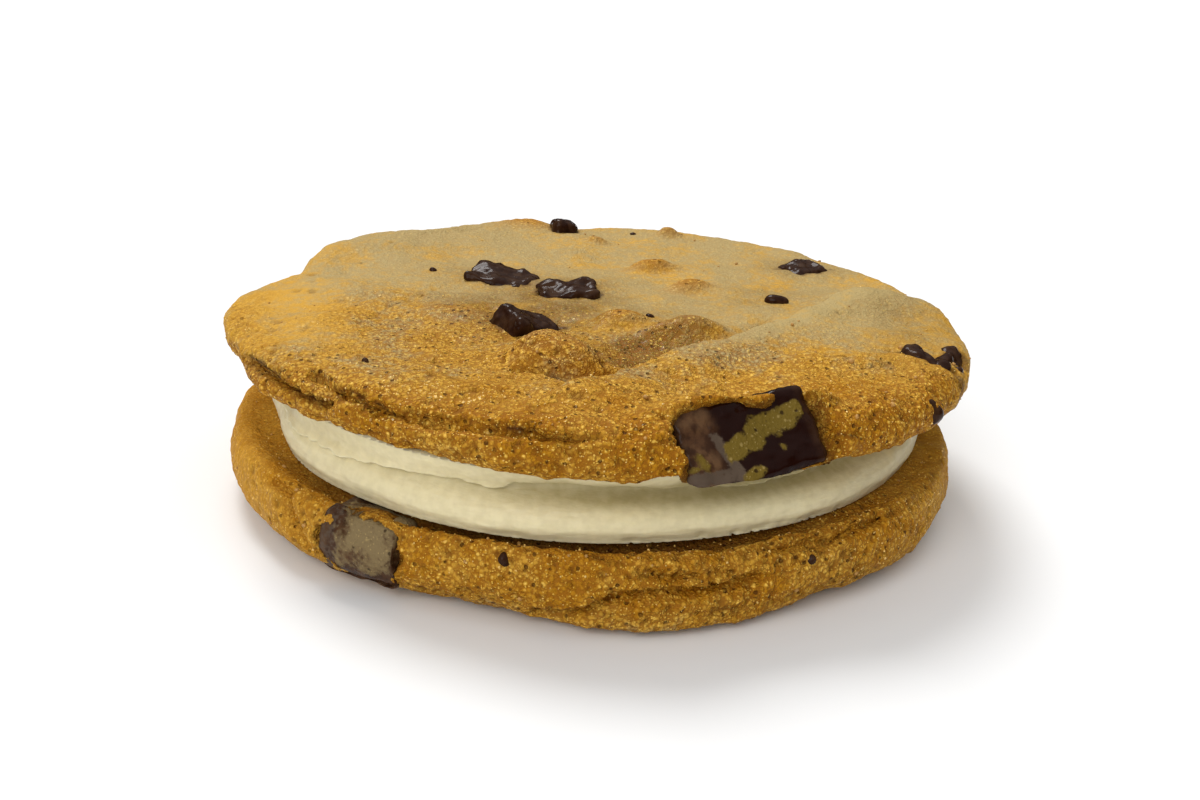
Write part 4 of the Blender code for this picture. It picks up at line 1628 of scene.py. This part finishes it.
@dataclass
class FrontChunk(Chunk):
    """The large bare chunk at the front, with a band of baked film across it."""

    film_half: float = 1.35
    film_spots: tuple[Patch, ...] = (
        Patch(-0.9, -3.9, 1.5, 0.75, 8, 1.0, 4.0), Patch(3.1, -2.0, 0.6, 0.7, 0, 0.7, 3.0),
        Patch(-6.3, -1.6, 0.7, 1.5, 20, 0.8, 3.0), Patch(-7.6, -2.2, 0.8, 0.5, 0, 0.8, 3.0),
    )

    def paint_face(self, obj: bpy.types.Object) -> None:
        """Stores the film band, the frosty streak and foot, and the smeared left third."""
        points = read_points(obj)
        own = self.plan.local(points)
        along, up = own[:, 0], own[:, 1]
        wander = 0.9 * noise_at(points, 2.6, 3.5, 3)
        middle = -1.2 + 0.305 * (along + 3.4)
        film = fall(up - middle + wander, self.film_half, 4.0) * rise(-4.0, -3.0, along + wander)
        film *= rise(7.1, 6.5, along + 0.3 * wander)
        for spot in self.film_spots:
            film = np.maximum(film, spot.at(own + wander[:, None] * 0.5))
        frost = fall(along + 3.6 + 0.3 * up, 0.8, 4.0) * rise(2.4, 0.5, up)
        frost = np.maximum(frost, fall(up + 3.4 + 0.5 * wander, 0.9, 4.0) * rise(-1.0, -3.0, along + wander))
        smear = rise(-3.0, -5.0, along + wander) + 0.25 * fall(along - 7.4, 0.7, 4.0)
        paint(obj, "melt", film, 0.8 * frost, smear)


@dataclass
class RimChunk(Chunk):
    """A chunk in the lower cookie's rim, which it follows, under a thin baked film."""

    host: LowerCookie | None = None
    proud: float = 0.1

    def build(self, material: bpy.types.Material) -> bpy.types.Object:
        """Makes the chunk and bends its outer face to the round of the rim.

        Args:
            material: its finish.

        Returns:
            The piece.
        """
        obj = Chunk.build(self, material)
        points = read_points(obj)
        outer = rise(0.0, 0.8 * self.plan.half_out(), self.plan.local(points)[:, 2])
        radius, angle = polar(points)
        uneven = 0.22 * noise_at(points, 2.6, 4.5, 2)
        rim = self.host.radius_at(angle, points[:, 2]) + self.proud + uneven
        write_points(obj, ringed(angle, radius + outer * (rim - radius), points[:, 2]))
        return obj

    def paint_face(self, obj: bpy.types.Object) -> None:
        """Stores a film over most of the face, with a bare dark edge on its left and foot."""
        points = read_points(obj)
        own = self.plan.local(points)
        wander = 1.1 * noise_at(points, 2.4, 3.5, 3)
        left, foot = own[:, 0] + self.plan.size[0] / 2 + wander, own[:, 1] + self.plan.size[2] / 2 + wander
        film = rise(0.6, 2.6, left) * rise(0.4, 1.9, foot)
        film = film * (0.66 + 0.5 * noise_at(points, 3.0, 5.5, 3))
        paint(obj, "melt", film, 0.5 * rise(3.4, 1.0, left) + 0.35 * film, 0.7 * np.ones(len(points)))


@dataclass
class Scatter:
    """Many small bits, modelled once and laid on a surface as one mesh, with its sizes in millimetres."""

    name: str
    count: int
    seed: int
    smallest: float
    largest: float
    sink: float = 0.35

    def build(self, hosts: tuple[tuple[bpy.types.Object, Array], ...], material: bpy.types.Material,
              slot: Slot) -> bpy.types.Object:
        """Lays the bits.

        Args:
            hosts: the pieces that carry them, each with how likely each of its points is.
            material: their finish.
            slot: the record's slot, not used.

        Returns:
            The piece.
        """
        deselect()
        bpy.ops.mesh.primitive_ico_sphere_add(subdivisions=1, radius=MM)
        obj = bpy.context.object
        obj.name = obj.data.name = self.name
        bit = read_points(obj)
        faces = np.array([list(polygon.vertices) for polygon in obj.data.polygons])
        draw = np.random.default_rng(self.seed)
        places, ways = [], []
        for host, wanted in hosts:
            points, normals = read_points(host), read_normals(host)
            odds = wanted / wanted.sum()
            picks = draw.choice(len(points), size=self.count // len(hosts), replace=False, p=odds)
            places.append(points[picks])
            ways.append(normals[picks])
        places, ways = np.concatenate(places), np.concatenate(ways)
        chance = draw.random(len(places))
        sizes = self.smallest + (self.largest - self.smallest) * chance**3
        all_points = []
        for place, way, size in zip(places, ways, sizes):
            shape = bit * (0.6 + 0.7 * draw.random(3)) * size / 2
            turn = np.array(Euler(draw.random(3) * FULL_TURN).to_matrix())
            all_points.append(shape @ turn.T + place + way * size * (0.5 - self.sink))
        total = len(places)
        mesh = bpy.data.meshes.new(self.name)
        shifted = (faces[None] + (np.arange(total) * len(bit))[:, None, None]).reshape(-1, 3)
        mesh.from_pydata((np.concatenate(all_points) * MM).tolist(), [], shifted.tolist())
        obj.data = mesh
        dress(obj, material, ())
        return obj


@dataclass
class SmallChips:
    """The small chocolate chips that show as dots, each sunk into the crust, with sizes in millimetres."""

    spots: tuple[tuple[float, float, float, float], ...] = (
        (25.0, 6.7, 22.5, 1.6), (7.3, -3.9, 22.5, 0.9), (-23.5, 14.2, 22.3, 1.0), (39.0, -28.4, 20.2, 1.6),
        (44.7, -16.6, 21.2, 0.9), (24.5, -40.6, 7.2, 0.9), (-7.9, -45.8, 8.0, 1.0), (-25.4, -28.5, 23.1, 0.6),
        (5.5, 41.4, 22.6, 0.9), (-42.6, 13.4, 20.4, 1.2), (30.0, 37.8, 6.5, 1.2), (-45.3, 6.0, 5.5, 1.3),
        (46.0, 8.0, 20.4, 1.2),
    )
    turns: Point = (0.4, 0.7, 1.1)
    shape: Point = (1.0, 0.72, 0.62)
    uneven: float = 0.22

    def build(self, material: bpy.types.Material) -> bpy.types.Object:
        """Makes the chips as one piece.

        Args:
            material: their finish.

        Returns:
            The piece.
        """
        made = []
        for number, (x, y, z, size) in enumerate(self.spots):
            deselect()
            bpy.ops.mesh.primitive_ico_sphere_add(
                subdivisions=3, radius=size * MM, location=(x * MM, y * MM, z * MM),
                rotation=tuple(part * number for part in self.turns), scale=self.shape)
            bpy.ops.object.transform_apply(location=True, rotation=True, scale=True)
            chip = bpy.context.object
            points, normals = read_points(chip), read_normals(chip)
            relief = self.uneven * size * noise_at(points, size, number)
            write_points(chip, points + normals * relief[:, None])
            made.append(chip)
        deselect()
        for chip in made:
            chip.select_set(True)
        bpy.context.view_layer.objects.active = made[0]
        bpy.ops.object.join()
        obj = bpy.context.object
        bpy.context.scene.cursor.location = (0.0, 0.0, 0.0)
        bpy.ops.object.origin_set(type="ORIGIN_CURSOR")
        obj.name = obj.data.name = "small_chips"
        ones = np.ones(len(obj.data.vertices))
        paint(obj, "melt", 0.0 * ones, 0.25 * ones, 0.35 * ones)
        dress(obj, material, ())
        return obj


@dataclass
class Studio:
    """A pale floor, soft light from above, and the camera."""

    eye: Point = (1.24, -168.91, 71.59)
    elevation: float = 20.22
    roll: float = 2.56
    lens: float = 39.52
    floor_size: float = 8.0
    floor_colour: Colour = (0.86, 0.86, 0.86)
    horizon: float = 0.0
    zenith: float = 0.72
    sun: float = 1.9
    sun_angle: float = 26.0
    sun_from: Point = (-0.32, 0.66, 1.0)
    fill: float = 1.50
    fill_angle: float = 46.0
    fill_from: Point = (-0.40, -0.88, 0.62)

    def build(self) -> None:
        """Makes the floor, the lights and the camera."""
        self.add_floor()
        self.add_lights()
        self.add_camera()
        bpy.context.scene.view_settings.view_transform = "Standard"

    def add_floor(self) -> None:
        """Lays a plain pale floor."""
        deselect()
        bpy.ops.mesh.primitive_plane_add(size=self.floor_size)
        floor = bpy.context.object
        floor.name = "floor"
        material, _, shader, _ = new_material("pale_floor")
        shader.inputs["Base Color"].default_value = (*self.floor_colour, 1.0)
        shader.inputs["Roughness"].default_value = 0.9
        shader.inputs["Specular IOR Level"].default_value = 0.1
        floor.data.materials.append(material)

    def add_lights(self) -> None:
        """Makes a soft sky, brighter overhead, and one wide soft light."""
        world = bpy.data.worlds.new("soft_sky")
        world.use_nodes = True
        graph = Graph(world.node_tree)
        way = graph.add("SeparateXYZ", Vector=graph.add("TexCoord").outputs["Generated"])
        background = world.node_tree.nodes["Background"]
        background.inputs["Color"].default_value = (1.0, 1.0, 1.0, 1.0)
        graph.feed(background.inputs["Strength"],
                   graph.spread(way.outputs["Z"], 0.1, 0.9, self.horizon, self.zenith))
        bpy.context.scene.world = world
        self.add_lamp("overhead_light", self.sun, self.sun_angle, self.sun_from)
        self.add_lamp("low_fill", self.fill, self.fill_angle, self.fill_from)

    def add_lamp(self, name: str, energy: float, spread: float, way: Point) -> None:
        """Makes a wide light that shines from far away.

        Args:
            name: the lamp's name.
            energy: its strength.
            spread: how wide it looks from the floor, in degrees.
            way: the direction that it shines from.
        """
        bpy.ops.object.light_add(type="SUN", location=(0.0, 0.0, 1.0))
        lamp = bpy.context.object
        lamp.name = name
        lamp.data.energy = energy
        lamp.data.angle = math.radians(spread)
        lamp.rotation_euler = Vector(way).to_track_quat("Z", "Y").to_euler()

    def add_camera(self) -> None:
        """Puts the camera where the picture was taken from."""
        down, tilt = math.radians(self.elevation), math.radians(self.roll)
        forward = Vector((0.0, math.cos(down), -math.sin(down)))
        level = Vector((1.0, 0.0, 0.0))
        upright = level.cross(forward)
        right = math.cos(tilt) * level + math.sin(tilt) * upright
        up = -math.sin(tilt) * level + math.cos(tilt) * upright
        data = bpy.data.cameras.new("camera")
        data.lens = self.lens
        data.sensor_width = 36.0
        data.clip_start, data.clip_end = 0.01, 20.0
        camera = bpy.data.objects.new("camera", data)
        bpy.context.scene.collection.objects.link(camera)
        columns = Matrix((right, up, -forward)).transposed().to_4x4()
        camera.matrix_world = Matrix.Translation(Vector(self.eye) * MM) @ columns
        bpy.context.scene.camera = camera


def crust_share(obj: bpy.types.Object, lowest: float, front_only: bool) -> Array:
    """How likely a grain lies at each point of a cookie.

    Args:
        obj: the cookie.
        lowest: the level under which none lie, in millimetres.
        front_only: whether most lie on the front.

    Returns:
        One value a point.
    """
    points = read_points(obj)
    front = rise(10.0, -28.0, points[:, 1])
    radius, _ = polar(points)
    share = rise(lowest, lowest + 1.0, points[:, 2]) * rise(30.0, 42.0, radius + 18.0 * (points[:, 2] > 21.0))
    return share * (0.04 + front if front_only else 0.3 + front) + LEAST_SHARE


def main() -> None:
    """Builds the sandwich from the bottom up, then the studio."""
    logging.basicConfig(level=logging.INFO, format="%(message)s")
    lower_plan = LowerCookie("lower_cookie_dough", segments=640, lower_rings=8, rim_rings=100, upper_rings=52)
    lower = lower_plan.build(DoughFinish("lower_dough"))
    cream_plan = Filling("cream", segments=960, lower_rings=4, rim_rings=76, upper_rings=4)
    cream_plan.build(CreamFinish("ivory_cream"))
    upper_plan = UpperCookie("upper_cookie_dough", segments=640, lower_rings=8, rim_rings=96, upper_rings=96)
    upper = upper_plan.build(DoughFinish("upper_dough"))
    chocolate = ChocolateFinish("dark_chocolate").build()
    bare = ChocolateFinish("bare_chocolate", film=(0.150, 0.098, 0.014)).build()
    for plan in UPPER_CHUNKS:
        if plan.name == "front_chunk":
            FrontChunk(plan, cuts=60, settle=0.45).build(bare)
        else:
            Chunk(plan, film=0.16, frost=0.12, smear=0.3, uneven=0.6, cuts=24).build(chocolate)
    for plan in LOWER_CHUNKS:
        RimChunk(plan, cuts=36, lowest=0.1, host=lower_plan).build(chocolate)
    SmallChips().build(chocolate)
    sugar = GrainFinish("sugar_glints", colour=(0.88, 0.56, 0.15), roughness=0.18).build()
    hosts = ((upper, crust_share(upper, 18.0, True)), (lower, crust_share(lower, 3.0, True)))
    Scatter("sugar_glints", count=1100, seed=5, smallest=0.14, largest=0.32).build(hosts, sugar, Slot.DOUGH)
    crumbs = GrainFinish("crumbs", colour=(0.52, 0.27, 0.06), roughness=0.6).build()
    hosts = ((upper, crust_share(upper, 17.8, False)), (lower, crust_share(lower, 3.0, False)))
    Scatter("crumbs", count=200, seed=9, smallest=0.25, largest=0.7).build(hosts, crumbs, Slot.DOUGH)
    Studio().build()


if __name__ == "__main__":
    main()
